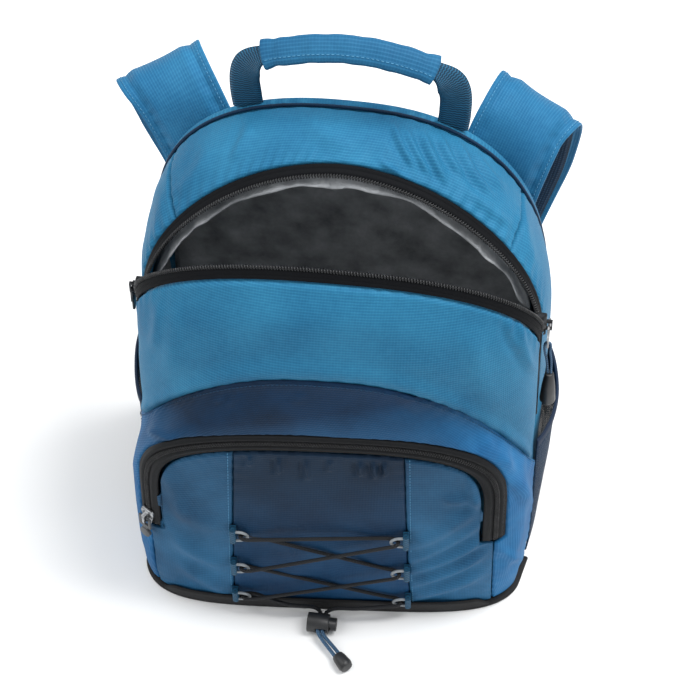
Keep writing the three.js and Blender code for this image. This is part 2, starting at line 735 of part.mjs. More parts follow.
// Sliders: a block round the coils, a bridge on top, and a pull whose crossbar hangs in the bridge
const sliderHalf = 7; // half its length
const sliderRise = 9; // its middle over the point where the zip opens
const bridgeHeight = 4.4;
const barRadius = 0.8;
const hingeLift = 3 + bridgeHeight / 2; // crossbar's middle over the zip

// Local axes: x across the zip, y up along it, z outwards.
function placeSlider(origin, up, out) {
  const x = up.clone().cross(out).normalize();
  return new THREE.Matrix4().makeBasis(x, up, out).setPosition(origin);
}

function sliderGeometry(matrix, cutters, back = 4.2) {
  const outline = new THREE.Shape(
    [
      [-3.6, -sliderHalf], [3.6, -sliderHalf], [5.8, 0.4 * sliderHalf], [4.6, sliderHalf],
      [-4.6, sliderHalf], [-5.8, 0.4 * sliderHalf],
    ]
      .map(([x, y]) => new THREE.Vector2(x, y)),
  );
  const block = plate(outline, back + 3.2, 0.7).translate(0, 0, -back);
  const bridge = cut(
    box(2.4, 9, bridgeHeight + 1, 0, 0, 3 + (bridgeHeight - 1) / 2),
    box(4, 6, 2 * barRadius + 1.1, 0, 0, hingeLift - 0.1),
  );
  const solid = toSolid(joined(block, bridge).applyMatrix4(matrix));
  return fromSolid(cutters.map(toSolid).reduce((a, b) => a.subtract(b), solid));
}

// A pull hangs down from its crossbar, which lies at the local origin.
function pullGeometry(length, width, hole) {
  const arm = 5.4;
  const frame = [
    box(2 * arm, 2 * barRadius, 2 * barRadius, 0, 0, 0),
    box(2, 9, 2 * barRadius, -arm + 1, -3.7, 0),
    box(2, 9, 2 * barRadius, arm - 1, -3.7, 0),
    box(2 * arm, 3, 2 * barRadius, 0, -8.6 - 0.2, 0),
  ];
  const tab = plate(
    new THREE.Shape(
      [
        [-width / 2, -9], [-width / 2, 2 - length], [2 - width / 2, -length], [width / 2 - 2, -length],
        [width / 2, 2 - length], [width / 2, -9],
      ]
        .map(([x, y]) => new THREE.Vector2(x, y)),
    ),
    pullThickness,
    0.3,
  ).translate(0, 0, -pullThickness / 2);
  const whole = joined(...frame, tab);
  return hole ? cut(whole, box(3.6, 3.6, 4, 0, 4 - length, 0)) : whole;
}

// The cord loop on a pull goes through the hole at its end and into a moulded grip, which leans out a little.
const pullCordRadius = 0.9;
const gripLean = 2.5;
function pullCordGeometry(length) {
  const rise = 1.9;
  const points = [
    [0, -cordDrop, gripLean + 1.1], [0, -cordDrop / 2, 0.6 * gripLean + 1.6], [0, -5, rise], [0, 1, 2.2],
    [0, 3.8, 1.4],
    [0, 4.4, 0], [0, 3.8, -1.4], [0, 1, -2.1], [0, -5, -rise], [0, -cordDrop / 2, 0.6 * gripLean - 1.6],
    [0, -cordDrop, gripLean - 1.1],
  ];
  return cordGeometry(points.map(([x, y, z]) => V(x, y - length, z)), pullCordRadius, 1);
}
function cordGripGeometry(length) {
  const outline = [[0, -34], [4, -33.4], [5.8, -30], [4.8, -14], [3.2, -0.4], [0, -0.4]];
  return new THREE.LatheGeometry(
    outline.map(([r, y]) => new THREE.Vector2(r, y)),
    12,
  ).translate(0, -length - cordDrop, gripLean);
}

const nearRows = (rows, z) => rows.filter(({ edge }) => edge.z < z + 45 && Math.abs(edge.x) > 0.6 * bodyHalf);
const leftOf = (rows) => rows.filter(({ edge }) => edge.x < 0);
const rightOf = (rows) => rows.filter(({ edge }) => edge.x > 0);
const mainSliders = [
  { side: "left", s: 0, hand: -1, z: sliderLeftZ + sliderRise, pick: leftOf, length: 23 },
  { side: "right", s: 1, hand: 1, z: sliderRightZ + sliderRise, pick: rightOf, length: pullLength },
];
for (const { side, s, hand, z, pick, length } of mainSliders) {
  const x = (frontAt(s, z).x + gussetSurface(hand < 0 ? legU(z, sliderLeftZ) : 1 - legU(z, sliderRightZ), 1).x) / 2;
  const matrix = placeSlider(V(x, mouthY, z), V(0, 0, 1), V(hand, 0, 0));
  const cutters = [upperRows, lowerRows].map((rows) => zipHalfGeometry(nearRows(pick(rows), z), gap));
  add(`main_slider_${side}`, sliderGeometry(matrix, cutters), "steel", 0.35, 0.9);
  const hinge = new THREE.Matrix4().makeTranslation(0, 0, hingeLift);
  const place = matrix.clone().multiply(hinge);
  add(`main_pull_${side}`, pullGeometry(length, pullWidth, hand > 0).applyMatrix4(place), "steel", 0.35, 0.9);
  if (hand > 0) {
    add("pull_cord_right", pullCordGeometry(length).applyMatrix4(place), "blue");
    add("cord_grip_right", cordGripGeometry(length).applyMatrix4(place), "black", 0.5);
  }
}

// Side pockets of net: each is held at its ends and foot and stands off the bag at its top
const netFromY = frontStartY - 6;
const netToY = backY - 5;
function netPoint(hand, y, z, lift) {
  const across = (y - netFromY) / (netToY - netFromY);
  const swell = Math.sin(Math.PI * across) ** 0.7 * lerp(2, netSwell, z / meshTopZ);
  return V(hand * (halfAt(z) + 1.1 + meshThickness + swell + lift) + swayAt(y), y, z);
}
const netY = (hand, u) => (hand < 0 ? lerp(netToY, netFromY, u) : lerp(netFromY, netToY, u));
for (const [side, hand] of [["left", -1], ["right", 1]]) {
  const net = (u, v) => netPoint(hand, netY(hand, u), lerp(floorZ, meshTopZ - gap, v), 0);
  add(`mesh_pocket_${side}`, wallGeometry(net, crowded(8), even(3), meshThickness), "navy");
  const rim = (u, v) => netPoint(hand, netY(hand, u), lerp(meshTopZ, meshTopZ + bindingHeight, v), 0.4);
  add(`mesh_binding_${side}`, wallGeometry(rim, crowded(8), even(1), meshThickness + 0.8), "navy");
}

// Lace rings: a wire bow in front of a tab, both lying off the pocket's face
function faceFrame(x, z) {
  const p = pocketFace(x, z);
  const across = pocketFace(x + 0.5, z).sub(pocketFace(x - 0.5, z)).normalize();
  const up = pocketFace(x, z + 0.5).sub(pocketFace(x, z - 0.5)).normalize();
  const out = across.clone().cross(up).normalize();
  return { p, across, up: out.clone().cross(across), out };
}
const rings = [
  { name: "left_top", hand: -1, z: ringTopZ },
  { name: "right_top", hand: 1, z: ringTopZ },
  { name: "left_middle", hand: -1, z: ringMiddleZ },
  { name: "right_middle", hand: 1, z: ringMiddleZ },
  { name: "left_bottom", hand: -1, z: ringBottomZ },
  { name: "right_bottom", hand: 1, z: ringBottomZ },
].map((ring) => {
  const x = ring.hand * (centreHalf * lerp(footFlare, 1, ring.z / pocketZipTop) - 2);
  const { p, across, up, out } = faceFrame(x, ring.z);
  const inwards = across.multiplyScalar(-ring.hand);
  const at = (a, b, h) => p.clone().addScaledVector(inwards, a).addScaledVector(up, b).addScaledVector(out, h);
  return { ...ring, at };
});
for (const { name, at } of rings) {
  const bow = [
    [-1.2, 1], [2.5, 1], [6.5, 0.86], [9.2, 0.45], [10, 0], [9.2, -0.45], [6.5, -0.86], [2.5, -1],
    [-1.2, -1],
  ];
  const wire = bow.map(([a, b]) => at((a * ringReach) / 10, b * ringHalf, ringOff));
  add(`lace_ring_${name}`, cordGeometry(wire, ringWire, 1, 6), "grey", 0.35, 0.4);
  const [w, h] = [3, ringHalf + ringWire + 1.4];
  const corners = [[-w, -h], [w / 2, -h], [w / 2, h], [-w, h]];
  const top = ringOff + ringWire + 0.9;
  const tab = sweep(2, corners, (i, a, b) => at(a, b, i === 0 ? gap : top));
  const bores = [-1, 1].map((b) =>
    cordGeometry([at(-2.2, b * ringHalf, ringOff), at(2.5, b * ringHalf, ringOff)], ringWire + 0.5, 1, 4),
  );
  add(
    `lace_tab_${name}`,
    cut(tab, ...bores),
    "black",
  );
}

// Lace: an elastic cord that crosses twice and meets in the cord lock on the floor
const lockAt = V(2, -111, 8);
const [over, under] = [ringOff + ringWire + laceRadius + 0.6, ringOff - ringWire - laceRadius - 0.4];
const ringNamed = (name) => rings.find((ring) => ring.name === name).at;
// Turn round a ring: from is the height the cord comes in at, to the height it leaves at, tilt how it slants.
const turn = (name, from, to, tiltFrom, tiltTo) => {
  const at = ringNamed(name);
  const mid = ringOff;
  return [
    at(13.5, tiltFrom * 4.4, from),
    at(10, tiltFrom * 2.6, from),
    at(6.4, tiltFrom * 1.2, lerp(mid, from, 0.75)),
    at(4.6, 0, mid),
    at(6.4, tiltTo * 1.2, lerp(mid, to, 0.75)),
    at(10, tiltTo * 2.6, to),
    at(13.5, tiltTo * 4.4, to),
  ];
};
const slotX = [-1.8, 1.6]; // the two strands in the lock, from its middle
const laceLine = [
  V(lockAt.x + slotX[0], lockAt.y + 1, lockAt.z),
  V(lockAt.x + slotX[0], lockAt.y + 8.5, lockAt.z),
  V(lockAt.x - 6, lockAt.y + 9.5, lockAt.z + 5),
  V(lockAt.x - 26, lockAt.y + 6, lockAt.z + 11),
  ...turn("left_bottom", under, over, -0.2, 0.6),
  ...turn("right_middle", over, under, -0.6, 0.6),
  ...turn("left_top", under, over, -0.6, 0.2),
  ...turn("right_top", under, over, 0.2, -0.6),
  ...turn("left_middle", over, under, 0.6, -0.6),
  ...turn("right_bottom", under, over, 0.6, -0.2),
  V(lockAt.x + 26, lockAt.y + 9, lockAt.z + 11),
  V(lockAt.x + 7, lockAt.y + 10, lockAt.z + 5),
  V(lockAt.x + slotX[1], lockAt.y + 8.5, lockAt.z),
  V(lockAt.x + slotX[1], lockAt.y + 1, lockAt.z),
];
add("lace_cord", cordGeometry(laceLine, laceRadius, 1, 5), "black");

// Cord lock: a barrel on the floor, and a button that slides in it against a spring
const lockRadius = 7.5;
const buttonRadius = 5;
const buttonTravel = 3;
const slotHeight = 2 * laceRadius + 0.8;
const slotFrom = slotX[0] - laceRadius - 0.3;
const slotTo = slotX[1] + laceRadius + 0.3;
const rod = (radius, from, to, sides = 16) =>
  new THREE.CylinderGeometry(
    radius,
    radius,
    to - from,
    sides,
  ).rotateZ(Math.PI / 2).translate((from + to) / 2, 0, 0);
const barrelFrom = slotFrom - buttonTravel - 4;
const barrelTo = slotTo + 2.4;
const barrel = cut(
  rod(lockRadius, barrelFrom, barrelTo),
  rod(buttonRadius + 0.3, barrelFrom + 1.6, barrelTo + 1),
  box(slotTo - slotFrom, 20, slotHeight, (slotFrom + slotTo) / 2, 0, 0),
);
add("cord_lock", barrel.translate(lockAt.x, lockAt.y, lockAt.z), "black", 0.45);
const button = cut(
  rod(buttonRadius, slotFrom - 1.8, barrelTo + buttonTravel + 2.5, 12),
  box(slotTo - slotFrom + buttonTravel, 20, slotHeight, (slotFrom + slotTo + buttonTravel) / 2, 0, 0),
);
add("cord_lock_button", button.translate(lockAt.x, lockAt.y, lockAt.z), "black", 0.45);

const tailEnd = V(20, -139, 6);
const tailWay = V(tailEnd.x - lockAt.x, tailEnd.y - lockAt.y + 8, 0).normalize();
const tailSide = V(-tailWay.y, tailWay.x, 0);
const tailApart = laceRadius + 0.4;
const tailLine = (x, hand) => {
  const at = (back) => tailEnd.clone().addScaledVector(tailWay, -back).addScaledVector(
    tailSide,
    hand * tailApart,
  );
  return [
    V(lockAt.x + x, lockAt.y + 0.4, lockAt.z), V(lockAt.x + x, lockAt.y - 7.5, lockAt.z), at(9), at(3),
    at(-1),
  ];
};
add("lace_tail_left", cordGeometry(tailLine(slotX[0], -1), laceRadius, 2), "blue");
add("lace_tail_right", cordGeometry(tailLine(slotX[1], 1), laceRadius, 2), "blue");
const endOutline = [
  [0, 0], [4.6, 0.3], [5.6, 3], [5, 10], [4.2, 13], [0, 13],
].map(([r, y]) => new THREE.Vector2(r, y));
const endGrip = cut(
  new THREE.LatheGeometry(endOutline, 12).translate(0, -9, 0),
  box(2 * (tailApart + laceRadius) + 0.6, 8, 2 * laceRadius + 0.6, 0, 2, 0),
).applyMatrix4(new THREE.Matrix4().makeBasis(tailSide, tailWay.clone().negate(), V(0, 0, 1)).setPosition(tailEnd));
add("lace_end", endGrip, "black", 0.45);

// Haul handle: webbing that is folded narrow where the sleeve holds it
const handlePoints = [
  [-handleHalf + 1, 0, 20 - 2 * webWidth], [-handleHalf - 2, 0, 0], [-handleHalf - 1, -1, 0.55 * handleRise],
  [-handleHalf + 8, -2, 0.87 * handleRise], [-handleHalf + 22, -2, handleRise], [-22, -2, handleRise + 7],
  [0, -2, handleRise + 9],
];
const handleAcross = [
  [1, 0, 0], [1, 0, 0], [0.9, -0.3, -0.2], [0.45, -0.7, -0.5], [0.05, -0.8, -0.6], [0, -0.8, -0.6],
  [0, -0.8, -0.6],
];
const bothWays = (rows, mirror) => [
  ...rows.map(([x, y, z]) => V(x, y, z)),
  ...rows.slice(0, -1).reverse().map(([x, y, z]) => mirror(x, y, z)),
];
const handleY = backY + gap + backThickness / 2;
const handleLine = bothWays(handlePoints, (x, y, z) => V(-x, y, z)).map((p) => p.add(V(0, handleY, bodyHeight)));
const handleSides = bothWays(handleAcross, (x, y, z) => V(-x, y, z));
const handleStations = bandStations(handleLine, handleSides, 28);
const sleeveShare = (t) => clamp((Math.abs(t - 0.5) - 0.22) / 0.1, 0, 1);
const webHalfWidth = (t) => lerp(0.58 * webWidth, webWidth, ease(0, 1, sleeveShare(t)));
const seamCutter = new THREE.ExtrudeGeometry(
  backOutline,
  { depth: 60, bevelSize: gap, bevelThickness: 1, bevelSegments: 1 },
)
  .rotateX(Math.PI / 2)
  .translate(0, handleY + 30, 0);
add("handle_webbing", cut(bandGeometry(handleStations, webHalfWidth, webThickness), seamCutter), "navy");
const sleeveStations = handleStations.filter(({ centre }) => Math.abs(centre.x) < gripLength / 2);
const boreStations = handleStations.filter(({ centre }) => Math.abs(centre.x) < gripLength / 2 + 9);
const sleeve = bandGeometry(sleeveStations, 0.75 * gripWidth, gripThickness + 1, bandSection);
const sleeveBore = bandGeometry(
  boreStations,
  (t) => 0.58 * webWidth + 1 + 6 * Math.abs(2 * t - 1) ** 8,
  webThickness + 0.8,
);
add("handle_grip", cut(sleeve, sleeveBore), "blue");

// Shoulder straps: padded, sewn to the back panel, over and down to a ladder lock. Rows: x is a share of bodyHalf,
// y of strapReach off the back panel's face, z of bodyHeight, and sx, sy, sz the way that the width runs.
const strapRows = [
  { x: 0.667, y: 0.007, z: 0.701, sx: 0.88, sy: 0, sz: 0.46 },
  { x: 0.752, y: 0.056, z: 0.778, sx: 0.85, sy: 0.02, sz: 0.52 },
  { x: 0.837, y: 0.169, z: 0.838, sx: 0.8, sy: 0.1, sz: 0.58 },
  { x: 0.922, y: 0.338, z: 0.879, sx: 0.78, sy: 0.2, sz: 0.58 },
  { x: 1, y: 0.549, z: 0.89, sx: 0.8, sy: 0.32, sz: 0.5 },
  { x: 1.05, y: 0.775, z: 0.86, sx: 0.86, sy: 0.32, sz: 0.34 },
  { x: 1.043, y: 0.93, z: 0.795, sx: 0.93, sy: 0.24, sz: 0.2 },
  { x: 0.979, y: 1, z: 0.679, sx: 1, sy: 0.1, sz: 0.08 },
  { x: 0.887, y: 0.958, z: 0.559, sx: 1, sy: 0, sz: 0 },
  { x: 0.809, y: 0.817, z: 0.449, sx: 1, sy: 0, sz: -0.04 },
  { x: 0.759, y: 0.662, z: 0.356, sx: 1, sy: 0, sz: -0.04 },
];
const strapFaceY = backY + gap + backThickness;
const strapLift = strapThickness / 2 + liningThickness + 3 * gap; // strap's middle over what its lining lies on
const splay = { left: 1, right: 0.6 }; // how far each strap leans outwards
const strapSection = [
  [-0.5, -0.1], [-0.44, 0.4], [-0.34, 0.5], [0, 0.5], [0.34, 0.5], [0.44, 0.4], [0.5, -0.1], [0.42, -0.5],
  [0, -0.5],
  [-0.42, -0.5],
];
const liningSection = [[0.44, 0], [0.42, 0.5], [0, 0.5], [-0.42, 0.5], [-0.42, -0.5], [0, -0.5], [0.42, -0.5]];
const barSpan = buckleWidth - 4;
const webbingThickness = 1.6;
const tailLength = 62;
const anchorX = bodyHalf - anchorInset;
for (const [side, hand] of [["left", -1], ["right", 1]]) {
  const x0 = strapRows[0].x;
  const line = strapRows.map(({ x, y, z }) => {
    const across = hand * bodyHalf * (x0 + (x - x0) * splay[side]);
    return V(across, strapFaceY + strapLift + y * strapReach, z * bodyHeight);
  });
  const across = strapRows.map(({ sx, sy, sz }) => V(sx, -hand * sy, -hand * sz));
  const stations = bandStations(line, across, 22);
  const width = (t) => strapWidth * lerp(1, 0.6, ease(0.7, 1, t));
  const last = stations.at(-1);
  const along = last.out.clone().cross(last.side);
  const down = along.dot(V(0, 0, -1)) > 0 ? along : along.negate();

  // Ladder lock: three bars between two sides, held by a short loop sewn into the strap's end
  const origin = last.centre.clone().addScaledVector(down, 7).addScaledVector(last.out, 0);
  const frame = new THREE.Matrix4().makeBasis(
    last.side.clone().negate(),
    down.clone().negate(),
    last.out,
  ).setPosition(origin);
  const bars = [0, -11, -22];
  const block = box(buckleWidth, buckleLength, buckleThickness, 0, -11, 0);
  const slots = bars.slice(1).map((y) => box(barSpan - 2, 11 - buckleThickness, 10, 0, y + 5.5, 0));
  add(`ladder_lock_${side}`, cut(block, ...slots).applyMatrix4(frame), "black", 0.45);
  const loopRadius = buckleThickness / 2 + 0.6 + 2 * gap;
  const loop = even(6, 0.5, -0.5).slice(1, -1).map((t) => [-Math.cos(Math.PI * t), Math.sin(Math.PI * t)]);
  const loopLine = [
    V(0, 9, 2), V(0, 4, loopRadius), ...loop.map(([y, z]) => V(0, y * loopRadius, z * loopRadius)),
    V(0, 4, -loopRadius), V(0, 9, -2),
  ];
  const loopBand = bandGeometry(bandStations(loopLine, loopLine.map(() => V(1, 0, 0)), 9), webWidth, 1.2);
  const strap = bandGeometry(stations, width, strapThickness, strapSection);
  add(`shoulder_strap_${side}`, joined(strap, loopBand.applyMatrix4(frame)), "blue");
  const lift = -(strapThickness / 2 + gap + liningThickness / 2);
  add(`strap_lining_${side}`, bandGeometry(stations, width, liningThickness, liningSection, lift), "navy");

  // Webbing from the bag's foot: up behind the lock, round its middle bar, and down in front as a loose tail
  const reach = buckleThickness / 2 + webbingThickness / 2 + 2 * gap;
  const local = [
    [-30, -reach - 0.4], [-22, -reach], [-13, -reach], [-8.6, -0.85 * reach], [-6, 0],
    [-8.6, 0.85 * reach], [-13, reach],
    [-22, reach], [-30, reach + 0.4], [-50, reach + 1.5], [-26 - tailLength, reach + 1],
  ].map(([y, z]) => V(0, y, z).applyMatrix4(frame));
  const flat = strapFaceY + gap + webbingThickness / 2;
  const anchor = [[0, 12], [0.1, 34], [2, 46]].map(([y, z]) => V(hand * anchorX, flat + y, z));
  const rise = anchor[2].clone().lerp(local[0], 0.5).add(V(0, 2, 0));
  const webbing = [...anchor, rise, ...local];
  const webbingAcross = webbing.map((p, i) => (i < anchor.length ? V(1, 0, 0) : last.side));
  const webbingStations = bandStations(webbing, webbingAcross, 2 * (webbing.length - 1));
  add(`strap_webbing_${side}`, bandGeometry(webbingStations, webWidth, webbingThickness), "navy");
}

// Pocket slider, with a short pull that ends in a round grip
const pocketSliderZ = pocketZipEnd + 9;
const pocketSliderU = pocketU(pocketSliderZ);
const pocketSliderOut = normalOf(pocketTape, pocketSliderU, 0, -1);
const pocketSliderPlace = placeSlider(
  pocketTape(pocketSliderU, 0).addScaledVector(pocketSliderOut, -0.4),
  V(0, 0, 1).projectOnPlane(pocketSliderOut).normalize(),
  pocketSliderOut,
);
add("pocket_slider", sliderGeometry(pocketSliderPlace, [pocketZip(gap)], -0.4), "steel", 0.35, 0.9);
const pocketHinge = pocketSliderPlace.clone().multiply(new THREE.Matrix4().makeTranslation(0, 0, hingeLift));
const pocketPullLength = 15;
const disc = new THREE.CylinderGeometry(4.6, 4.6, 2.4, 14).rotateX(Math.PI / 2).translate(
  0,
  -pocketPullLength - 2,
  0.2,
);
add(
  "pocket_pull",
  joined(pullGeometry(pocketPullLength, 5, false), disc).applyMatrix4(pocketHinge),
  "grey",
  0.6,
);

export default cooler;
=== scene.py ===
"""A soft cooler backpack, open and empty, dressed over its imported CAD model. Sizes are in millimetres until a
mesh is made."""

import bmesh
import bpy
import numpy as np
from mathutils import Matrix


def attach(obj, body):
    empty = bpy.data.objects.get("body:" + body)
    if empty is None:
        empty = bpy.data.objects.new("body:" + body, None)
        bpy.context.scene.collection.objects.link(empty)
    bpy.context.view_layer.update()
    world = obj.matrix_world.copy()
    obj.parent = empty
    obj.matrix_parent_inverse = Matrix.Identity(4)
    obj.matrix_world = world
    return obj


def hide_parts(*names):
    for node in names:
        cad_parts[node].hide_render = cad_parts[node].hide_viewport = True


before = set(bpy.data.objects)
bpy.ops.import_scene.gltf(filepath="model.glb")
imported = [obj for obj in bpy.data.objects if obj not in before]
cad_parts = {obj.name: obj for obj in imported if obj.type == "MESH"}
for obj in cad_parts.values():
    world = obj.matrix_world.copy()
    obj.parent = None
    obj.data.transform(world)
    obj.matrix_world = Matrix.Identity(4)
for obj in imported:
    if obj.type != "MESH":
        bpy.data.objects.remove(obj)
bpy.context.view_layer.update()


# The view of the photograph: a long lens from above and a little to the right. The camera hardly leans, so
# the bag's sides stay upright in the frame.
view_target = np.array([9.7, 0.0, 197.9])
view_distance = 2033
view_lens = 146.9
view_sensor = 36
view_pixels = 700
azimuth, elevation, roll = np.radians([8.6, 52.3, -0.9])
view_back = np.array(
    [np.sin(azimuth) * np.cos(elevation), -np.cos(azimuth) * np.cos(elevation), np.sin(elevation)]
)
level = np.cross(-view_back, [0, 0, 1])
level /= np.linalg.norm(level)
upright = np.cross(level, -view_back)
view_right = np.cos(roll) * level + np.sin(roll) * upright
view_up = np.cos(roll) * upright - np.sin(roll) * level
view_eye = view_target + view_back * view_distance
camera = bpy.data.objects.new("camera", bpy.data.cameras.new("camera"))
camera.data.sensor_width = view_sensor
camera.data.lens = view_lens
camera.data.clip_end = 50
turned = np.eye(4)
turned[:3, 0], turned[:3, 1], turned[:3, 2], turned[:3, 3] = view_right, view_up, view_back, view_eye / 1000
camera.matrix_world = Matrix(turned)
bpy.context.scene.collection.objects.link(camera)
bpy.context.scene.camera = camera
bpy.context.scene.view_settings.view_transform = "Standard"


# The studio: a pale floor under a pale sky, a wide soft light above the bag on the right, and a weaker one
# high on the left.
class Value:
    """A shader value on which Python's arithmetic adds Math nodes."""

    def __init__(self, finish, socket):
        self.finish = finish
        self.socket = socket

    def math(self, operation, *operands, clamp=False):
        settings = {"operation": operation, "use_clamp": clamp}
        return self.finish.node("ShaderNodeMath", settings, dict(enumerate(operands)))

    def __add__(self, other):
        return self.math("ADD", self, other)

    def __radd__(self, other):
        return self.math("ADD", other, self)

    def __sub__(self, other):
        return self.math("SUBTRACT", self, other)

    def __rsub__(self, other):
        return self.math("SUBTRACT", other, self)

    def __mul__(self, other):
        return self.math("MULTIPLY", self, other)

    def __rmul__(self, other):
        return self.math("MULTIPLY", other, self)

    def __pow__(self, other):
        return self.math("POWER", self, other)

    def wave(self):
        """0.5 + 0.5 sin(value)"""
        return self.math("SINE", self) * 0.5 + 0.5

    def ribs(self, spacing):
        """A wave of a length in millimetres along a value that counts them"""
        return (self * (2 * np.pi / spacing)).wave()

    def between(self, low, high):
        """0 at low, 1 at high and straight between them"""
        return self.math("MULTIPLY", self - low, 1 / (high - low), clamp=True)


class Finish:
    """A material with one principled shader, whose constants are given by socket name."""

    def __init__(self, name, constants):
        self.material = bpy.data.materials.new(name)
        self.material.use_nodes = True
        self.tree = self.material.node_tree
        self.tree.nodes.clear()
        self.shader = self.tree.nodes.new("ShaderNodeBsdfPrincipled")
        output = self.tree.nodes.new("ShaderNodeOutputMaterial")
        self.tree.links.new(self.shader.outputs[0], output.inputs[0])
        self.feed(self.shader, constants)

    def feed(self, made, sockets):
        for key, value in sockets.items():
            if isinstance(value, Value):
                self.tree.links.new(value.socket, made.inputs[key])
            else:
                made.inputs[key].default_value = value

    def node(self, kind, settings=None, sockets=None, output=0):
        made = self.tree.nodes.new(kind)
        for key, value in (settings or {}).items():
            setattr(made, key, value)
        self.feed(made, sockets or {})
        return Value(self, made.outputs[output])

    def mix(self, first, second, factor):
        sockets = {0: factor, 6: first, 7: second}
        return self.node("ShaderNodeMix", {"data_type": "RGBA"}, sockets, output=2)

    def along(self, map_name):
        """Both lengths of a UV map, in millimetres"""
        place = self.node("ShaderNodeUVMap", {"uv_map": map_name})
        parts = [self.node("ShaderNodeSeparateXYZ", None, {"Vector": place}, output=k) for k in (0, 1)]
        return parts[0] * 1000, parts[1] * 1000

    def spots(self, size, detail=2.0, rough=0.5):
        """Noise on Object coordinates, with spots of a size in millimetres"""
        place = self.node("ShaderNodeTexCoord", output=3)
        sockets = {"Vector": place, "Scale": 1000 / size, "Detail": detail, "Roughness": rough}
        return self.node("ShaderNodeTexNoise", None, sockets)

    def relief(self, height, deep):
        """A bump that stands deep millimetres high where height is 1"""
        bump = self.node("ShaderNodeBump", None, {"Height": height, "Distance": deep / 1000, "Strength": 1.0})
        self.feed(self.shader, {"Normal": bump})

    def paint(self, **sockets):
        names = {"colour": "Base Color", "roughness": "Roughness", "alpha": "Alpha", "metallic": "Metallic"}
        self.feed(self.shader, {names[key]: value for key, value in sockets.items()})


def rgb(red, green, blue):
    """A linear colour from one as screens show it, 0 to 255"""
    c = np.array([red, green, blue]) / 255
    linear = np.where(c <= 0.04045, c / 12.92, ((c + 0.055) / 1.055) ** 2.4)
    return (*linear, 1.0)


floor_mesh = bpy.data.meshes.new("floor")
floor_mesh.from_pydata([(-6, -6, 0), (6, -6, 0), (6, 6, 0), (-6, 6, 0)], [], [(0, 1, 2, 3)])
floor = bpy.data.objects.new("floor", floor_mesh)
bpy.context.scene.collection.objects.link(floor)
paper = Finish("pale_paper", {"Roughness": 0.9, "Specular IOR Level": 0.2})
paper.paint(colour=paper.mix(rgb(244, 244, 243), rgb(250, 250, 249), paper.spots(400)))
floor.data.materials.append(paper.material)
sky = bpy.data.worlds.new("sky")
sky.use_nodes = True
sky.node_tree.nodes["Background"].inputs["Color"].default_value = (0.95, 0.97, 1.0, 1.0)
sky.node_tree.nodes["Background"].inputs["Strength"].default_value = 0.66
bpy.context.scene.world = sky


def soft_light(name, size, power, place, aim):
    """A square light of a size in metres at a place, turned to a point"""
    lamp = bpy.data.lights.new(name, "AREA")
    lamp.size = size
    lamp.energy = power
    holder = bpy.data.objects.new(name, lamp)
    way = np.array(place) - np.array(aim)
    way = way / np.linalg.norm(way)
    side = np.cross([0, 0, 1], way)
    side = side / np.linalg.norm(side)
    turn = np.eye(4)
    turn[:3, 0], turn[:3, 1], turn[:3, 2], turn[:3, 3] = side, np.cross(way, side), way, place
    holder.matrix_world = Matrix(turn)
    bpy.context.scene.collection.objects.link(holder)


soft_light("key", 1.1, 44, (0.85, 0.2, 1.95), (0, 0, 0.2))
soft_light("fill", 1.6, 18, (-1.2, -0.2, 1.7), (0, 0, 0.2))


# The front wall: ripstop polyester over foam and a film liner, sewn to the zip at its top edge. It stands
# out most at the height of the pocket's seam and leans back to the mouth.
body_half = 141.0
body_height = 365.0
back_y = 78.0
mouth_y = -8.0
wall_thick = 6.0
cloth_thick = 2.0
gap = 0.4
floor_z = 4.4
arch_start = 205.0
slider_left_z = 246.0
slider_right_z = 251.0
zip_end_z = 158.0
zip_half = 10.0
lip_rise = 84.0
front_depth = 60.0
front_start_y = mouth_y - zip_half - gap
skew = 0.084
sway = 4.0
front_rows = {"up": [0, 0.12, 0.4, 0.62, 0.77, 0.9, 1], "deep": [0.8, 0.86, 0.9, 0.96, 1, 0.83, 0.53]}
side_rows = {"up": [0, 0.15, 0.5, 1], "half": [0.985, 1, 1.005, 1]}


def lerp(a, b, t):
    return a + (b - a) * t


def ease(a, b, t):
    """x x (3 - 2 x), x being the share of the way from a to b"""
    x = np.clip((t - a) / (b - a), 0, 1)
    return x * x * (3 - 2 * x)


def bent(value, power):
    """A sine or cosine to the power 2 / power, with its sign: both together run along a superellipse."""
    return np.sign(value) * np.abs(value) ** (2 / power)


def column(rows, key, share):
    """A column of a table at a share, on cubic curves whose slopes are those between the rows' neighbours"""
    up, value = np.array(rows["up"], float), np.array(rows[key], float)
    t = np.clip(share, up[0], up[-1])
    i = np.clip(np.searchsorted(up, t), 1, len(up) - 1)
    before, after = np.maximum(i - 2, 0), np.minimum(i + 1, len(up) - 1)
    span = up[i] - up[i - 1]
    x = (t - up[i - 1]) / span
    slope_a = (value[i] - value[before]) / (up[i] - up[before]) * span
    slope_b = (value[after] - value[i - 1]) / (up[after] - up[i - 1]) * span
    x2, x3 = x * x, x * x * x
    ends = (2 * x3 - 3 * x2 + 1) * value[i - 1] + (3 * x2 - 2 * x3) * value[i]
    return ends + (x3 - 2 * x2 + x) * slope_a + (x3 - x2) * slope_b


def half_at(z):
    return body_half * column(side_rows, "half", z / arch_start)


def sway_at(y):
    return sway * ease(back_y, mouth_y, y)


def lip_z(s):
    """Height of the front wall's edge: a sine arch over the line between the sliders"""
    return lerp(slider_left_z, slider_right_z, s) + lip_rise * np.abs(np.sin(np.pi * s)) ** 0.9


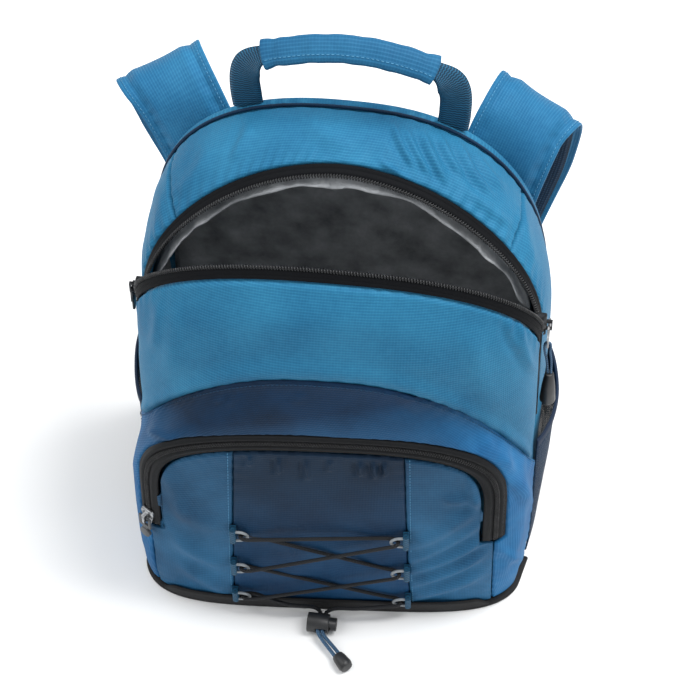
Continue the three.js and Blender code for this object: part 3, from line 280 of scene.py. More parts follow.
def front_at(s, z):
    """A superellipse round the front at each height, as deep as the table says, and a little askew"""
    t = np.clip((z - floor_z) / (lip_z(s) - floor_z), 0, 1)
    power = lerp(3.0, 2.5, t)
    forward = bent(np.sin(np.pi * s), power)
    x = -half_at(z) * bent(np.cos(np.pi * s), power)
    y = front_start_y - front_depth * column(front_rows, "deep", t) * forward
    y = y + skew * (1 - 0.8 * t * t) * x * forward
    return np.stack([x + sway_at(y), y, z + 0 * x], -1)


def unit(v):
    return v / np.linalg.norm(v, axis=-1, keepdims=True).clip(1e-9)


def offset(face, s, z, lift):
    """A point of a face moved out along the cross product of its two ways"""
    step = 1e-3
    along = face(np.minimum(s + step, 1), z) - face(np.maximum(s - step, 0), z)
    up = face(s, z + 0.5) - face(s, z - 0.5)
    return face(s, z) + unit(np.cross(along, up)) * lift


def grid(face, us, vs):
    """A face's points at each pair of two lists of shares"""
    u, v = np.meshgrid(us, vs, indexing="ij")
    return face(u, v)


def normals(points):
    """Cross product of the grid's two ways, one long"""
    return unit(np.cross(np.gradient(points, axis=0), np.gradient(points, axis=1)))


def lengths(points):
    """How far each point of a grid lies along both of its ways"""
    both = []
    for axis in (0, 1):
        steps = np.linalg.norm(np.diff(points, axis=axis), axis=-1)
        start = np.zeros_like(np.take(steps, [0], axis=axis))
        both.append(np.concatenate([start, np.cumsum(steps, axis=axis)], axis=axis))
    return both


def quads_of(rows, columns, wrap_rows=False, wrap_columns=False):
    """Corners of a grid's squares, turning the way that its rows cross its columns"""
    i = np.arange(rows if wrap_rows else rows - 1)[:, None]
    j = np.arange(columns if wrap_columns else columns - 1)[None, :]
    corners = [(i, j), (i + 1, j), (i + 1, j + 1), (i, j + 1)]
    return np.stack([(a % rows) * columns + b % columns for a, b in corners], -1).reshape(-1, 4)


def build(name, points, quads, cloth=None, weld=False):
    """A mesh of squares; cloth holds each point's place on the cloth in millimetres, for the weave."""
    mesh = bpy.data.meshes.new(name)
    mesh.vertices.add(len(points))
    mesh.vertices.foreach_set("co", (points / 1000).astype(np.float32).ravel())
    mesh.loops.add(quads.size)
    mesh.loops.foreach_set("vertex_index", quads.astype(np.int32).ravel())
    mesh.polygons.add(len(quads))
    mesh.polygons.foreach_set("loop_start", np.arange(0, quads.size, 4, dtype=np.int32))
    mesh.polygons.foreach_set("use_smooth", np.ones(len(quads), bool))
    if cloth is not None:
        layer = mesh.uv_layers.new(name="cloth")
        layer.data.foreach_set("uv", (cloth[quads.ravel()] / 1000).astype(np.float32).ravel())
    mesh.update(calc_edges=True)
    mesh.validate()
    if weld:
        soft = bmesh.new()
        soft.from_mesh(mesh)
        bmesh.ops.remove_doubles(soft, verts=soft.verts, dist=1e-6)
        soft.to_mesh(mesh)
        soft.free()
    made = bpy.data.objects.new(name, mesh)
    bpy.context.scene.collection.objects.link(made)
    return made


def tuck(points, radius, ends=(True, True, True, True)):
    """How far a wall's edge turns in near its four ends: a quarter circle of a radius"""
    a, b = lengths(points)
    away = [a, a[-1:] - a, b, b[:, -1:] - b]
    near = np.min([d if use else d * 0 + 1e3 for d, use in zip(away, ends)], axis=0)
    x = 1 - np.clip(near / radius, 0, 1)
    return radius * (1 - np.sqrt(1 - x * x))


def wall(name, outer, thickness, lift=0.0, edge=2.5, ends=(True, True, True, True)):
    """A closed wall: inner = outer - thickness x normal, outer raised by lift and rounded at its edges"""
    out = normals(outer)
    rows, columns = outer.shape[:2]
    face = outer + out * (lift - tuck(outer, edge, ends))[..., None]
    inner = outer - out * thickness
    count = rows * columns
    at = np.arange(count).reshape(rows, columns)
    rim = np.concatenate([at[:-1, 0], at[-1, :-1], at[:0:-1, -1], at[0, :0:-1]])
    after = np.roll(rim, -1)
    front = quads_of(rows, columns)
    sides = np.stack([after, rim, rim + count, after + count], -1)
    quads = np.concatenate([front, front[:, ::-1] + count, sides])
    cloth = np.stack(lengths(outer), -1).reshape(-1, 2)
    points = np.concatenate([face.reshape(-1, 3), inner.reshape(-1, 3)])
    return build(name, points, quads, np.concatenate([cloth, cloth]))


def ripple(points, size, seed):
    """Smooth noise of about -1 to 1: the sum of 20 sine waves of random ways, near one length"""
    random = np.random.default_rng(seed)
    total = np.zeros(points.shape[:-1])
    for _ in range(20):
        way = unit(random.normal(size=3))
        length = size * random.uniform(0.7, 1.6)
        total += np.sin(points @ way * 2 * np.pi / length + random.uniform(0, 2 * np.pi))
    return total / 6


def seen(points):
    """Where points show in the square frame of the view, in pixels from its top left corner"""
    ray = points - view_eye
    scale = view_pixels * view_lens / view_sensor / -(ray @ view_back)
    middle = view_pixels / 2
    return np.stack([middle + scale * (ray @ view_right), middle - scale * (ray @ view_up)], -1)


def folds(points, rows):
    """Soft folds along lines of the frame. Each row: from x, from y, to x, to y, wide, high, bow. A fold is
    high x exp(-(d / wide)^2), d being the distance from its line, and fades at both ends."""
    at = seen(points)
    total = np.zeros(points.shape[:-1])
    for x0, y0, x1, y1, wide, high, bow in rows:
        start, way = np.array([x0, y0]), np.array([x1 - x0, y1 - y0], float)
        length = np.linalg.norm(way)
        t = (at - start) @ way / length**2
        d = (at - start) @ np.array([-way[1], way[0]]) / length - bow * 4 * t * (1 - t)
        fade = ease(-0.1, 0.3, t) * (1 - ease(0.7, 1.1, t))
        total += high * fade * (np.exp(-((d / wide) ** 2)) - 0.45 * np.exp(-(((d - 1.9 * wide) / wide) ** 2)))
    return total


def puckers(along, away, pitch, reach, seed):
    """Short gathers beside a seam: waves along it that die out with the distance from it"""
    random = np.random.default_rng(seed)
    knots = random.uniform(0.2, 1, 64)
    strength = np.interp(along / (2.3 * pitch), np.arange(64), knots)
    shift = 1.3 * np.sin(along / (3.1 * pitch)) + 0.9 * np.sin(along / (1.7 * pitch) + 2)
    return strength * np.sin(2 * np.pi * along / pitch + 2 * shift) * np.exp(-away / reach)


def ripstop(name, dark, light, rib=0.5, sheen=0.03):
    """Plain polyester weave with a fine rib across it and a weaker one along it"""
    cloth = Finish(name, {"Specular IOR Level": 0.2, "Sheen Weight": sheen, "Sheen Roughness": 0.4})
    along, up = cloth.along("cloth")
    course = up.ribs(2.05) ** 2.0
    wale = along.ribs(2.05) ** 2.0
    thread = up.ribs(0.41) * along.ribs(0.41)
    cloud = cloth.spots(60, 3.0)
    fine = cloth.spots(3.5, 2.0)
    worn = cloud.between(0.3, 0.7) * 0.4 + fine.between(0.3, 0.7) * 0.12
    shade = worn + course * rib * 0.5 + wale * rib * 0.22
    cloth.paint(colour=cloth.mix(dark, light, shade), roughness=0.72 - 0.14 * course - 0.08 * cloud)
    cloth.relief(course * 0.6 + wale * 0.3 + thread * 0.25 + fine * 0.2, 0.16)
    return cloth.material


def place(piece, material, slot, replaces=(), body="bag"):
    """Gives a piece its finish and its body, and hides the CAD nodes that it stands for"""
    piece.data.materials.clear()
    piece.data.materials.append(material)
    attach(piece, body)
    if replaces:
        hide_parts(*replaces)
    return piece


blue_cloth = ripstop("blue_ripstop", rgb(14, 84, 122), rgb(50, 130, 166))
front_folds = [
    (520, 322, 533, 372, 5, 1.6, 3),
    (508, 318, 519, 352, 4, 1.1, 2),
    (158, 300, 152, 352, 6, 1.4, -2),
    (176, 300, 168, 380, 9, 0.9, 0),
    (236, 330, 420, 318, 22, 0.8, -6),
    (250, 360, 460, 372, 16, 0.7, -5),
    (470, 330, 500, 420, 12, 0.8, 4),
]
pocket_seam = {"top": 262.0, "left": 140.0, "right": 122.0}


def seam_z(s):
    """Height of the seam that joins the pocket to the front wall: a sine arch"""
    side = lerp(pocket_seam["left"], pocket_seam["right"], s)
    return side + (pocket_seam["top"] - side) * np.abs(np.sin(np.pi * s)) ** 1.5


def wall_face(s, t):
    return front_at(s, lerp(floor_z, lip_z(s), t))


front_base = grid(wall_face, np.linspace(0, 1, 300), np.linspace(0, 1, 130))
front_along, front_up = lengths(front_base)
front_lift = 1.7 * folds(front_base, front_folds) + 0.5 * ripple(front_base, 90, 3)
front_lift += 0.8 * puckers(front_along, front_up[:, -1:] - front_up, 11, 7, 5)
front_s = np.linspace(0, 1, 300)[:, None]
over_seam = front_base[..., 2] - seam_z(front_s)
seam_roll = 3.2 * ease(-2, 5, over_seam) * np.exp(-(((over_seam - 7) / 9) ** 2))
front_lift += seam_roll * ease(0.02, 0.12, np.minimum(front_s, 1 - front_s))
front_lift += 0.5 * puckers(front_along, np.abs(over_seam - 4), 14, 8, 15)
front_wall = wall("front_wall", front_base, wall_thick, front_lift * (front_up > 0), edge=3.5)
place(front_wall, blue_cloth, "blue ripstop", ["front_panel"])


# The gusset: one band of the same cloth in three pieces, up both sides and over the crown, between the back
# panel and the zip. The piece over the crown is the flap, creased on the right and gathered along the zip.
leg_share = 0.28
top_seam = 0.36
gusset_bulge = 6.0
flap_top_z = 361.0
flap_top_y = 32.0


def arch_share(u):
    """How far round the arch u is: 0 on the left leg and 1 on the right one"""
    return np.clip((u - leg_share) / (1 - 2 * leg_share), 0, 1)


def over_the_top(u, turn_left_z, turn_right_z, crown_z, crown_y, leg_y, power_left, power_right):
    """Straight legs joined by a superellipse over the crown"""
    arch = arch_share(u)
    turn_z = lerp(turn_left_z, turn_right_z, arch)
    bend = lerp(power_left, power_right, arch)
    up = bent(np.sin(np.pi * arch), bend)
    x = -half_at(turn_z) * bent(np.cos(np.pi * arch), bend)
    over = np.stack([x, lerp(leg_y(turn_z), crown_y, np.abs(up) ** 1.3), turn_z + (crown_z - turn_z) * up], -1)
    z = lerp(floor_z, turn_z, np.minimum(u, 1 - u) / leg_share)
    leg = np.stack([np.sign(u - 0.5) * half_at(z), leg_y(z), z], -1)
    return np.where(((u >= leg_share) & (u <= 1 - leg_share))[..., None], over, leg)


def gusset_y(z):
    return lerp(front_start_y + gap, mouth_y + zip_half + gap, ease(zip_end_z - 6, zip_end_z - gap, z))


def back_edge(u):
    return over_the_top(u, arch_start, arch_start, body_height, back_y, lambda z: back_y + 0 * z, 2.75, 2.2)


def flap_edge(u):
    return over_the_top(u, slider_left_z, slider_right_z, flap_top_z, flap_top_y, gusset_y, 1.85, 1.85)


def gusset_at(u, v):
    """Straight from the back panel's edge to the zip, swelled outwards on the legs and the crown"""
    a, b = back_edge(u), flap_edge(u)
    out = unit(np.stack([a[..., 0], 0 * u, np.maximum(0, a[..., 2] - arch_start) * 1.6], -1))
    swell = gusset_bulge * ease(0, leg_share, np.minimum(u, 1 - u)) * np.sin(np.pi * v)
    p = lerp(a, b, v[..., None]) + out * swell[..., None]
    p[..., 0] += sway_at(p[..., 1])
    return p


flap_folds = [
    (392, 123, 416, 168, 3.6, 1.7, 1.5),
    (404, 128, 432, 176, 3.4, 1.5, 1.5),
    (421, 131, 447, 184, 3.6, 1.9, 1.5),
    (438, 134, 464, 176, 3.4, 1.5, 2),
    (456, 139, 492, 196, 4.0, 1.8, 3),
    (474, 150, 506, 190, 4.0, 1.4, 3),
    (380, 160, 424, 190, 3.0, 1.2, 1),
    (470, 190, 512, 226, 4.5, 1.1, 2),
    (250, 124, 232, 160, 5.0, 0.9, -2),
    (210, 150, 176, 196, 7.0, 0.9, -3),
    (300, 112, 352, 148, 9.0, 0.7, 2),
    (162, 190, 150, 250, 6.0, 1.0, -3),
    (524, 210, 536, 268, 6.0, 1.2, 3),
]
gusset_steps = {"gusset_left": (top_seam, 0), "gusset_top": (1 - top_seam - gap / 500, top_seam + gap / 500)}
gusset_steps["gusset_right"] = (1, 1 - top_seam)
for node, (first, last) in gusset_steps.items():
    stations = 260 if node == "gusset_top" else 170
    band = grid(gusset_at, np.linspace(first, last, stations), np.linspace(0, 1, 76))
    band_along, band_across = lengths(band)
    to_zip = band_across[:, -1:] - band_across
    lift = 1.9 * folds(band, flap_folds) + 0.5 * ripple(band, 80, 11)
    above = ease(slider_left_z - 30, slider_left_z + 20, band[..., 2])
    lift += 1.3 * above * puckers(band_along, to_zip, 10, 8, 7)
    lift += 0.4 * puckers(band_along, band_across, 13, 9, 8)
    if node == "gusset_top":
        seam_near = np.minimum(band_along, band_along[-1:] - band_along)
        lift += 0.5 * puckers(band_across, seam_near, 9, 5, 9)
    piece = wall(node.replace("gusset", "side"), band, wall_thick, lift, edge=3.0)
    place(piece, blue_cloth, "blue ripstop", [node])


# The back panel: a padded plate with a rounded edge. Its seam with the gusset is bound all round in dark blue
# cloth.
back_thick = 10.0


def slab(outline, rows, centre):
    """A closed plate: its outline shrunk towards a centre, at each row's share and place across it"""
    share = np.array([row[0] for row in rows])[None, :, None]
    deep = np.array([row[1] for row in rows])[None, :, None]
    flat = centre + (outline[:, None, :] - centre) * share
    return flat + np.array([0.0, 1.0, 0.0]) * deep


crown_u = np.linspace(leg_share, 1 - leg_share, 120)
outline_u = np.concatenate([np.linspace(0, leg_share, 40), crown_u[1:-1], np.linspace(1 - leg_share, 1, 40)])
outline = back_edge(outline_u) + np.array([0, gap, 0])
foot_x = np.linspace(outline[-1, 0], outline[0, 0], 50)[1:-1]
foot = np.stack([foot_x, 0 * foot_x + back_y + gap, 0 * foot_x + floor_z], -1)
outline = np.concatenate([outline, foot])
inward = [(t, 0.0) for t in (0, 0.3, 0.6, 0.8, 0.9, 0.96)]
turn = np.linspace(0, np.pi, 13)
corner = [(0.982 + 0.018 * np.sin(a), back_thick / 2 * (1 - np.cos(a))) for a in turn]
outward = [(t, back_thick) for t in np.linspace(0.97, 0, 34)]
back_grid = slab(outline, inward + corner + outward, np.array([0.0, back_y + gap, 175.0]))
shrunk = np.array([row[0] for row in inward + corner + outward])
behind = np.array([row[1] for row in inward + corner + outward]) > back_thick - 0.01
above_foot = ease(50, 95, back_grid[..., 2])
panel_lift = (3.5 * ease(1.0, 0.86, shrunk) * behind)[None, :] * above_foot
quilt = np.exp(-((back_grid[..., 0] / 7) ** 2)) * ease(0.95, 0.7, shrunk)[None, :] * behind[None, :]
back_grid[..., 1] += panel_lift - 3.0 * quilt * above_foot + 0.35 * ripple(back_grid, 60, 21) * behind[None, :]
rows, columns = back_grid.shape[:2]
back_panel = build("back_pad", back_grid.reshape(-1, 3), quads_of(rows, columns, wrap_rows=True),
                   np.stack([back_grid[..., 0], back_grid[..., 2]], -1).reshape(-1, 2), weld=True)
place(back_panel, blue_cloth, "blue ripstop", ["back_panel"])


def curve(points, per_span):
    """A centripetal Catmull-Rom curve: a cubic between each two points, with even shares of each span"""
    p = np.asarray(points, float)
    p = np.concatenate([[2 * p[0] - p[1]], p, [2 * p[-1] - p[-2]]])
    step = np.maximum(np.linalg.norm(np.diff(p, axis=0), axis=-1), 1e-6)[:, None] ** 0.5
    x0, x1, x2, x3 = p[:-3], p[1:-2], p[2:-1], p[3:]
    d0, d1, d2 = step[:-2], step[1:-1], step[2:]
    t1 = ((x1 - x0) / d0 - (x2 - x0) / (d0 + d1) + (x2 - x1) / d1) * d1
    t2 = ((x2 - x1) / d1 - (x3 - x1) / (d1 + d2) + (x3 - x2) / d2) * d1
    t = np.arange(per_span)[None, :, None] / per_span
    a, b, c, d = (k[:, None] for k in (x1, t1, -3 * x1 + 3 * x2 - 2 * t1 - t2, 2 * x1 - 2 * x2 + t1 + t2))
    return np.concatenate([(a + b * t + c * t**2 + d * t**3).reshape(-1, 3), p[-2:-1]])


def frames(path, first=(0.31, 0.17, 0.94)):
    """The ways across a path: a first one carried along it without twisting, and the one square to it"""
    way = unit(np.gradient(path, axis=0))
    side = np.empty_like(path)
    last = np.array(first)
    for i, w in enumerate(way):
        last = unit(last - w * (last @ w))
        side[i] = last
    return side, np.cross(side, way)


def travelled(path):
    """How far each point of a path lies along it"""
    return np.concatenate([[0], np.cumsum(np.linalg.norm(np.diff(path, axis=0), axis=-1))])


def around(count):
    """Even angles round a circle"""
    return np.linspace(0, 2 * np.pi, count + 1)[:-1]


def tube(name, path, radius, sides=12, flat=1.0):
    """A cord: path + radius (side cos a + flat out sin a), closed at both ends; its cloth map runs along it"""
    path = np.asarray(path, float)
    side, out = frames(path)
    a = around(sides)
    along = travelled(path)
    thick = np.full(len(path), float(radius))
    stations = np.concatenate([[0, 0], np.arange(len(path)), [len(path) - 1] * 2])
    thick = np.concatenate([[0, 0.7 * thick[0]], thick, [0.7 * thick[-1], 0]])
    ring = side[stations, None] * np.cos(a)[None, :, None]
    ring = ring + flat * out[stations, None] * np.sin(a)[None, :, None]
    points = path[stations, None] + ring * thick[:, None, None]
    cloth = np.stack(np.broadcast_arrays(along[stations][:, None], (a * radius)[None, :]), -1)
    quads = quads_of(len(stations), sides, wrap_columns=True)[:, ::-1]
    return build(name, points.reshape(-1, 3), quads, cloth.reshape(-1, 2), weld=True)


black_tape = Finish("black_tape", {"Specular IOR Level": 0.12})
tape_along, tape_across = black_tape.along("cloth")
herring = (tape_along * (2 * np.pi / 0.9) + tape_across.ribs(2.6) * 3.0).wave()
black_tape.paint(
    colour=black_tape.mix(rgb(3, 4, 7), rgb(18, 20, 23), herring * 0.45 + black_tape.spots(9) * 0.3),
    roughness=0.82 - 0.2 * herring,
)
black_tape.relief(herring + black_tape.spots(2) * 0.5, 0.12)
piping_u = np.linspace(0.005, 0.995, 300)
piping = back_edge(piping_u) + np.array([0, 1.2, 0])
outwards = unit(np.stack([piping[:, 0], 0 * piping_u, np.maximum(0, piping[:, 2] - arch_start) * 1.6], -1))
dark_binding = ripstop("dark_binding", rgb(4, 26, 46), rgb(16, 56, 88))
back_piping = tube("back_piping", piping + outwards * 0.2, 1.2, 10)
place(back_piping, dark_binding, "navy binding")


# The liner: a silver film on cloth, loose behind the walls. Its edge is caught in the zip's seam and hangs a
# little past it in waves; inside it shows all the way down.
film = Finish("silver_film", {"Specular IOR Level": 0.6, "Sheen Weight": 0.05})
crease = film.spots(26, 4.0, 0.62)
grain = film.spots(1.6, 1.0)
film.paint(
    colour=film.mix(rgb(112, 115, 118), rgb(190, 193, 196), crease.between(0.3, 0.72)),
    roughness=0.36 + 0.22 * film.spots(14),
    metallic=0.25 + 0.3 * crease,
)
film.relief(crease * 1.0 + grain * 0.06, 1.6)
liner_sink = wall_thick + 1.8


def inner_front(s, t):
    return front_at(s, lerp(floor_z + liner_sink, lip_z(s) - 1, t))


liner_base = grid(inner_front, np.linspace(0, 1, 160), np.linspace(0, 1, 70))
liner_base = liner_base - normals(liner_base) * liner_sink
liner_lift = -1.1 * np.abs(ripple(liner_base, 45, 31)) - 0.6 * np.abs(ripple(liner_base, 16, 32))
front_in = liner_base + normals(liner_base) * liner_lift[..., None]
liner_front = wall("liner_front_film", front_in, 1.0, 0, edge=0.4)
place(liner_front, film.material, "silver liner", ["liner_front"])


def inner_gusset(u, v):
    """The gusset's face sunk by the walls' thickness; over the mouth it reaches past the zip in waves"""
    above = ease(leg_share - 0.02, leg_share + 0.06, np.minimum(u, 1 - u))
    width = np.linalg.norm(back_edge(u) - flap_edge(u), axis=-1)
    past = (12.6 + 1.1 * np.sin(u * 47 + 3 * np.sin(u * 9)) + 0.7 * np.sin(u * 131 + 1)) / width
    return gusset_at(u, lerp(0.06, 0.99 + above * past, v))


sunk = grid(inner_gusset, np.linspace(0.985, 0.015, 330), np.linspace(0, 1, 46))
sunk = sunk - normals(sunk) * liner_sink
edge_share = np.linspace(0, 1, 46)[None, :]
wave = 1.4 * ripple(sunk, 30, 33) * ease(0.5, 1, edge_share)
wave += 0.8 * ripple(sunk, 14, 34) * ease(0.6, 1, edge_share)
sunk = sunk - normals(sunk) * (np.abs(0.8 * ripple(sunk, 40, 35)) + np.abs(wave))[..., None]
liner_gusset = wall("liner_side_film", sunk, 0.8, 0, edge=0.3)
place(liner_gusset, film.material, "silver liner", ["liner_gusset"])
inset = liner_sink + 2.5
back_rows = [(t, 0.0) for t in np.linspace(0, 1, 30)] + [(t, 1.0) for t in (1, 0.5, 0)]
liner_line = (outline - [0, 0, 175]) * [(body_half - inset) / body_half, 1, 0.955] + [0, -2.0, 178]
liner_back_grid = slab(liner_line, back_rows, np.array([0.0, back_y - 1.6, 178.0]))
soft = ease(1.0, 0.9, np.array([row[0] for row in back_rows]))[None, :]
liner_waves = ripple(liner_back_grid, 60, 41) + 0.5 * ripple(liner_back_grid, 22, 42)
liner_back_grid[..., 1] += soft * (liner_waves - 1.6)
rows, columns = liner_back_grid.shape[:2]
back_film = build("liner_back_film", liner_back_grid.reshape(-1, 3), quads_of(rows, columns, wrap_rows=True),
                  weld=True)
place(back_film, film.material, "silver liner", ["liner_back"])
floor_s = np.linspace(0.05, 0.95, 60)
floor_edge = offset(front_at, floor_s, floor_z + 1 + 0 * floor_s, -inset)
liner_foot_half, liner_foot_y = 128.0, back_y - 3
liner_corner = np.array([[liner_foot_half, liner_foot_y, 0]])
floor_edge = np.concatenate([liner_corner * [-1, 1, 1], floor_edge, liner_corner])
floor_edge[:, 2] = floor_z + 0.6
floor_share = np.linspace(0, 1, 40)[None, :, None]
floor_far = floor_edge * [1, 0, 1] + [0, liner_foot_y, 0]
floor_grid = lerp(floor_edge[:, None], floor_far[:, None], floor_share)
floor_grid[..., 2] += 0.9 + 0.5 * ripple(floor_grid, 50, 43)
floor_film = wall("liner_floor_film", floor_grid[::-1, ::-1], 0.8, 0, edge=0.3)
place(floor_film, film.material, "silver liner", ["liner_floor"])


# The main zip: a woven tape with a nylon coil on its edge, one half sewn to the flap and the other to the
# front wall. Below the sliders both coils lock together.
coil_radius = 1.3
coil_at = zip_half + gap / 2 - coil_radius


def carried(edge, side, out, section):
    """A profile carried along a path: edge + w side + h out for each of its points"""
    return edge[:, None] + side[:, None] * section[None, :, :1] + out[:, None] * section[None, :, 1:]


def closed_band(name, points):
    """The closed skin of a profile that is carried along a path, with a flat cap at both ends"""
    stations, sides = points.shape[:2]
    first, last = points[:1].mean(1, keepdims=True), points[-1:].mean(1, keepdims=True)
    whole = np.concatenate([first + 0 * points[:1], points, last + 0 * points[-1:]])
    quads = quads_of(stations + 2, sides, wrap_columns=True)
    a, b, c = whole[1, 0], whole[1, 1], whole[2, 0]
    middle = whole[1].mean(0)
    if np.cross(c - a, b - a) @ (a - middle) < 0:
        quads = quads[:, ::-1]
    along = travelled(whole[:, 0])
    round_it = np.linalg.norm(np.diff(np.concatenate([points[0], points[0, :1]]), axis=0), axis=-1)
    across = np.concatenate([[0], np.cumsum(round_it)[:-1]])
    cloth = np.stack(np.broadcast_arrays(along[:, None], across[None, :]), -1)
    return build(name, whole.reshape(-1, 3), quads, cloth.reshape(-1, 2), weld=True)


def evenly(path, *others, step):
    """The same path and what goes with it, at even steps of its length"""
    along = travelled(path)
    at = np.linspace(0, along[-1], max(2, int(along[-1] / step)))
    return [np.stack([np.interp(at, along, p[:, k]) for k in range(3)], -1) for p in (path, *others)]


def coil(name, middle, side, out, pitch=2.0, wide=1.15, high=1.0, wire=0.5):
    """A nylon coil: a helix round a line, middle + wide cos a side + high sin a out, as a tube"""
    middle, side, out = evenly(middle, side, out, step=pitch / 9)
    turns = np.arange(len(middle)) * 2 * np.pi / 9
    path = middle + side * (wide * np.cos(turns))[:, None] + out * (high * np.sin(turns))[:, None]
    return tube(name, path, wire, 5)


nylon = Finish("black_nylon", {"Specular IOR Level": 0.5})
nylon.paint(colour=nylon.mix(rgb(14, 15, 17), rgb(38, 39, 41), nylon.spots(3)),
            roughness=0.34 + 0.2 * nylon.spots(5))
nylon.relief(nylon.spots(1.2), 0.03)
tape_section = np.array(
    [[0.4, -1.8], [0.4, -0.5], [1.2, -0.25], [3.2, -0.35], [3.6, -0.6], [4.0, -0.35], [6.6, -0.4], [7.6, -0.7],
     [8.2, -1.2], [7.6, -1.8]]
)


def zip_half_pieces(name, edge, out, hand, replaced):
    """The tape and coil of one half: side = out x along, turned towards the other half"""
    edge, out = evenly(edge, out, step=2.2)
    out = unit(out)
    side = unit(np.cross(out, np.gradient(edge, axis=0))) * hand
    tape = closed_band(f"{name}_tape", carried(edge, side, out, tape_section))
    place(tape, black_tape.material, "black zip", [replaced])
    middle = edge + side * coil_at - out * 0.8
    teeth = coil(f"{name}_teeth", middle, side, out)
    place(teeth, nylon.material, "black zip", [replaced])


def leg_u(z, turn_z):
    return leg_share * (z - floor_z) / (turn_z - floor_z)


def face_out(face, u, v, sign):
    """One long and square to a face: its two ways crossed"""
    step = 1e-3
    du = face(np.minimum(1, u + step), v) - face(np.maximum(0, u - step), v)
    dv = face(u, np.minimum(1, v + step)) - face(u, v - step)
    return unit(np.cross(du, dv)) * sign


upper_u = np.linspace(leg_u(zip_end_z, slider_left_z), 1 - leg_u(zip_end_z, slider_right_z), 700)
upper_edge = gusset_at(upper_u, 1 + 0 * upper_u)
upper_out = face_out(gusset_at, upper_u, 1 + 0 * upper_u, -1)
zip_half_pieces("zip_upper", upper_edge, upper_out, -1, "main_zip_upper")
leg_left_z = np.linspace(zip_end_z, slider_left_z, 60)
leg_right_z = np.linspace(slider_right_z, zip_end_z, 60)
lip_s = np.linspace(0, 1, 500)[1:-1]
lip_out = face_out(wall_face, np.clip(lip_s, 0.01, 0.99), 1 + 0 * lip_s, 1)
lower_edge = np.concatenate([front_at(0 * leg_left_z, leg_left_z), front_at(lip_s, lip_z(lip_s)),
                             front_at(1 + 0 * leg_right_z, leg_right_z)])
lower_out = np.concatenate([[[-1.0, 0, 0]] * 60, lip_out, [[1.0, 0, 0]] * 60])
zip_half_pieces("zip_lower", lower_edge, lower_out, 1, "main_zip_lower")


# The sliders and pulls: die-cast zinc, plated dark, but for the right pull, which is pale. They take their
# shapes from the CAD nodes, and their edges are broken with a small round.
def dressed(node, name, material, slot, body="bag", edge=0.35):
    """A copy of a CAD node with its corners welded and rounded"""
    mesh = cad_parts[node].data.copy()
    mesh.name = name
    soft = bmesh.new()
    soft.from_mesh(mesh)
    bmesh.ops.remove_doubles(soft, verts=soft.verts, dist=1e-5)
    bmesh.ops.dissolve_limit(soft, angle_limit=0.02, verts=soft.verts, edges=soft.edges)
    soft.to_mesh(mesh)
    soft.free()
    piece = bpy.data.objects.new(name, mesh)
    bpy.context.scene.collection.objects.link(piece)
    mesh.polygons.foreach_set("use_smooth", np.ones(len(mesh.polygons), bool))
    bevel = piece.modifiers.new("edges", "BEVEL")
    bevel.width = edge / 1000
    bevel.segments = 2
    bevel.limit_method = "ANGLE"
    bevel.angle_limit = np.radians(32)
    bevel.harden_normals = True
    return place(piece, material, slot, [node], body)


def metal(name, dark, light, rough):
    """Plated zinc with a worn film, duller in random patches"""
    made = Finish(name, {"Metallic": 0.9})
    worn = made.spots(4, 3.0)
    made.paint(colour=made.mix(dark, light, worn.between(0.35, 0.65)), roughness=rough + 0.16 * made.spots(2.5))
    made.relief(made.spots(1.1), 0.02)
    return made.material


dark_nickel = metal("dark_nickel", rgb(28, 29, 31), rgb(74, 76, 79), 0.26)
pale_nickel = metal("pale_nickel", rgb(112, 114, 116), rgb(176, 178, 180), 0.24)
dressed("main_slider_left", "slider_left", dark_nickel, "slider metal")
dressed("main_slider_right", "slider_right", dark_nickel, "slider metal")
dressed("main_pull_left", "pull_left", dark_nickel, "slider metal", "left_pull")
dressed("main_pull_right", "pull_right", pale_nickel, "slider metal", "right_pull")


# The front pocket: four panels of the same polyester in a darker blue, with no padding, over a boxed edge.
# Their blue is painted darker still towards the top, as shade.
# The upper band comes out from under the front wall's roll and falls into the zip; the lace draws the
# middle panel together.
pocket_depth = 76.0
pocket_zip_top, pocket_zip_turn, pocket_zip_end = 204.0, 128.0, 92.0
pocket_zip_across = 125.0
pocket_zip_half = 9.0
centre_half = 61.0
foot_flare = 1.07
pocket_side = 0.03
pocket_power = 4.6
pocket_rows = {
    "up": [0, 0.15, 0.45, 0.7, 0.8, 0.92, 1],
    "deep": [0.95, 1.01, 1.01, 0.95, 0.94, 0.97, 0.9],
    "wide": [1.005, 1.02, 1.02, 1.015, 1.01, 1, 0.99],
}


def pocket_half(z):
    return half_at(z) * column(pocket_rows, "wide", z / pocket_seam["top"])


def face_sway(forward):
    return sway * (1 - 0.75 * forward)


def pocket_at(s, z):
    """A boxed superellipse round the front, eased down on the front wall at its sides and its seam"""
    forward = bent(np.sin(np.pi * s), pocket_power)
    x = -pocket_half(z) * bent(np.cos(np.pi * s), pocket_power)
    deep = column(pocket_rows, "deep", z / pocket_seam["top"])
    y = front_start_y - pocket_depth * deep * forward + skew * x * forward
    t = (z - floor_z) / (seam_z(s) - floor_z)
    free = (1 - ease(0.8, 1, t)) * ease(pocket_side, 0.1, np.minimum(s, 1 - s))
    laid = offset(front_at, s, z, cloth_thick + gap)
    return lerp(laid, np.stack([x + face_sway(forward), y, z + 0 * x], -1), free[..., None])


def pocket_share(x, z):
    """The way round at which the pocket's face is x from the middle"""
    half = pocket_half(z)

    def share(place):
        angle = np.arccos(np.minimum(1, np.abs(place) / half) ** (pocket_power / 2))
        return np.where(place < 0, angle, np.pi - angle) / np.pi

    return share(x - face_sway(bent(np.sin(np.pi * share(x)), pocket_power)))


def pocket_face(x, z):
    return pocket_at(pocket_share(x, z), z)


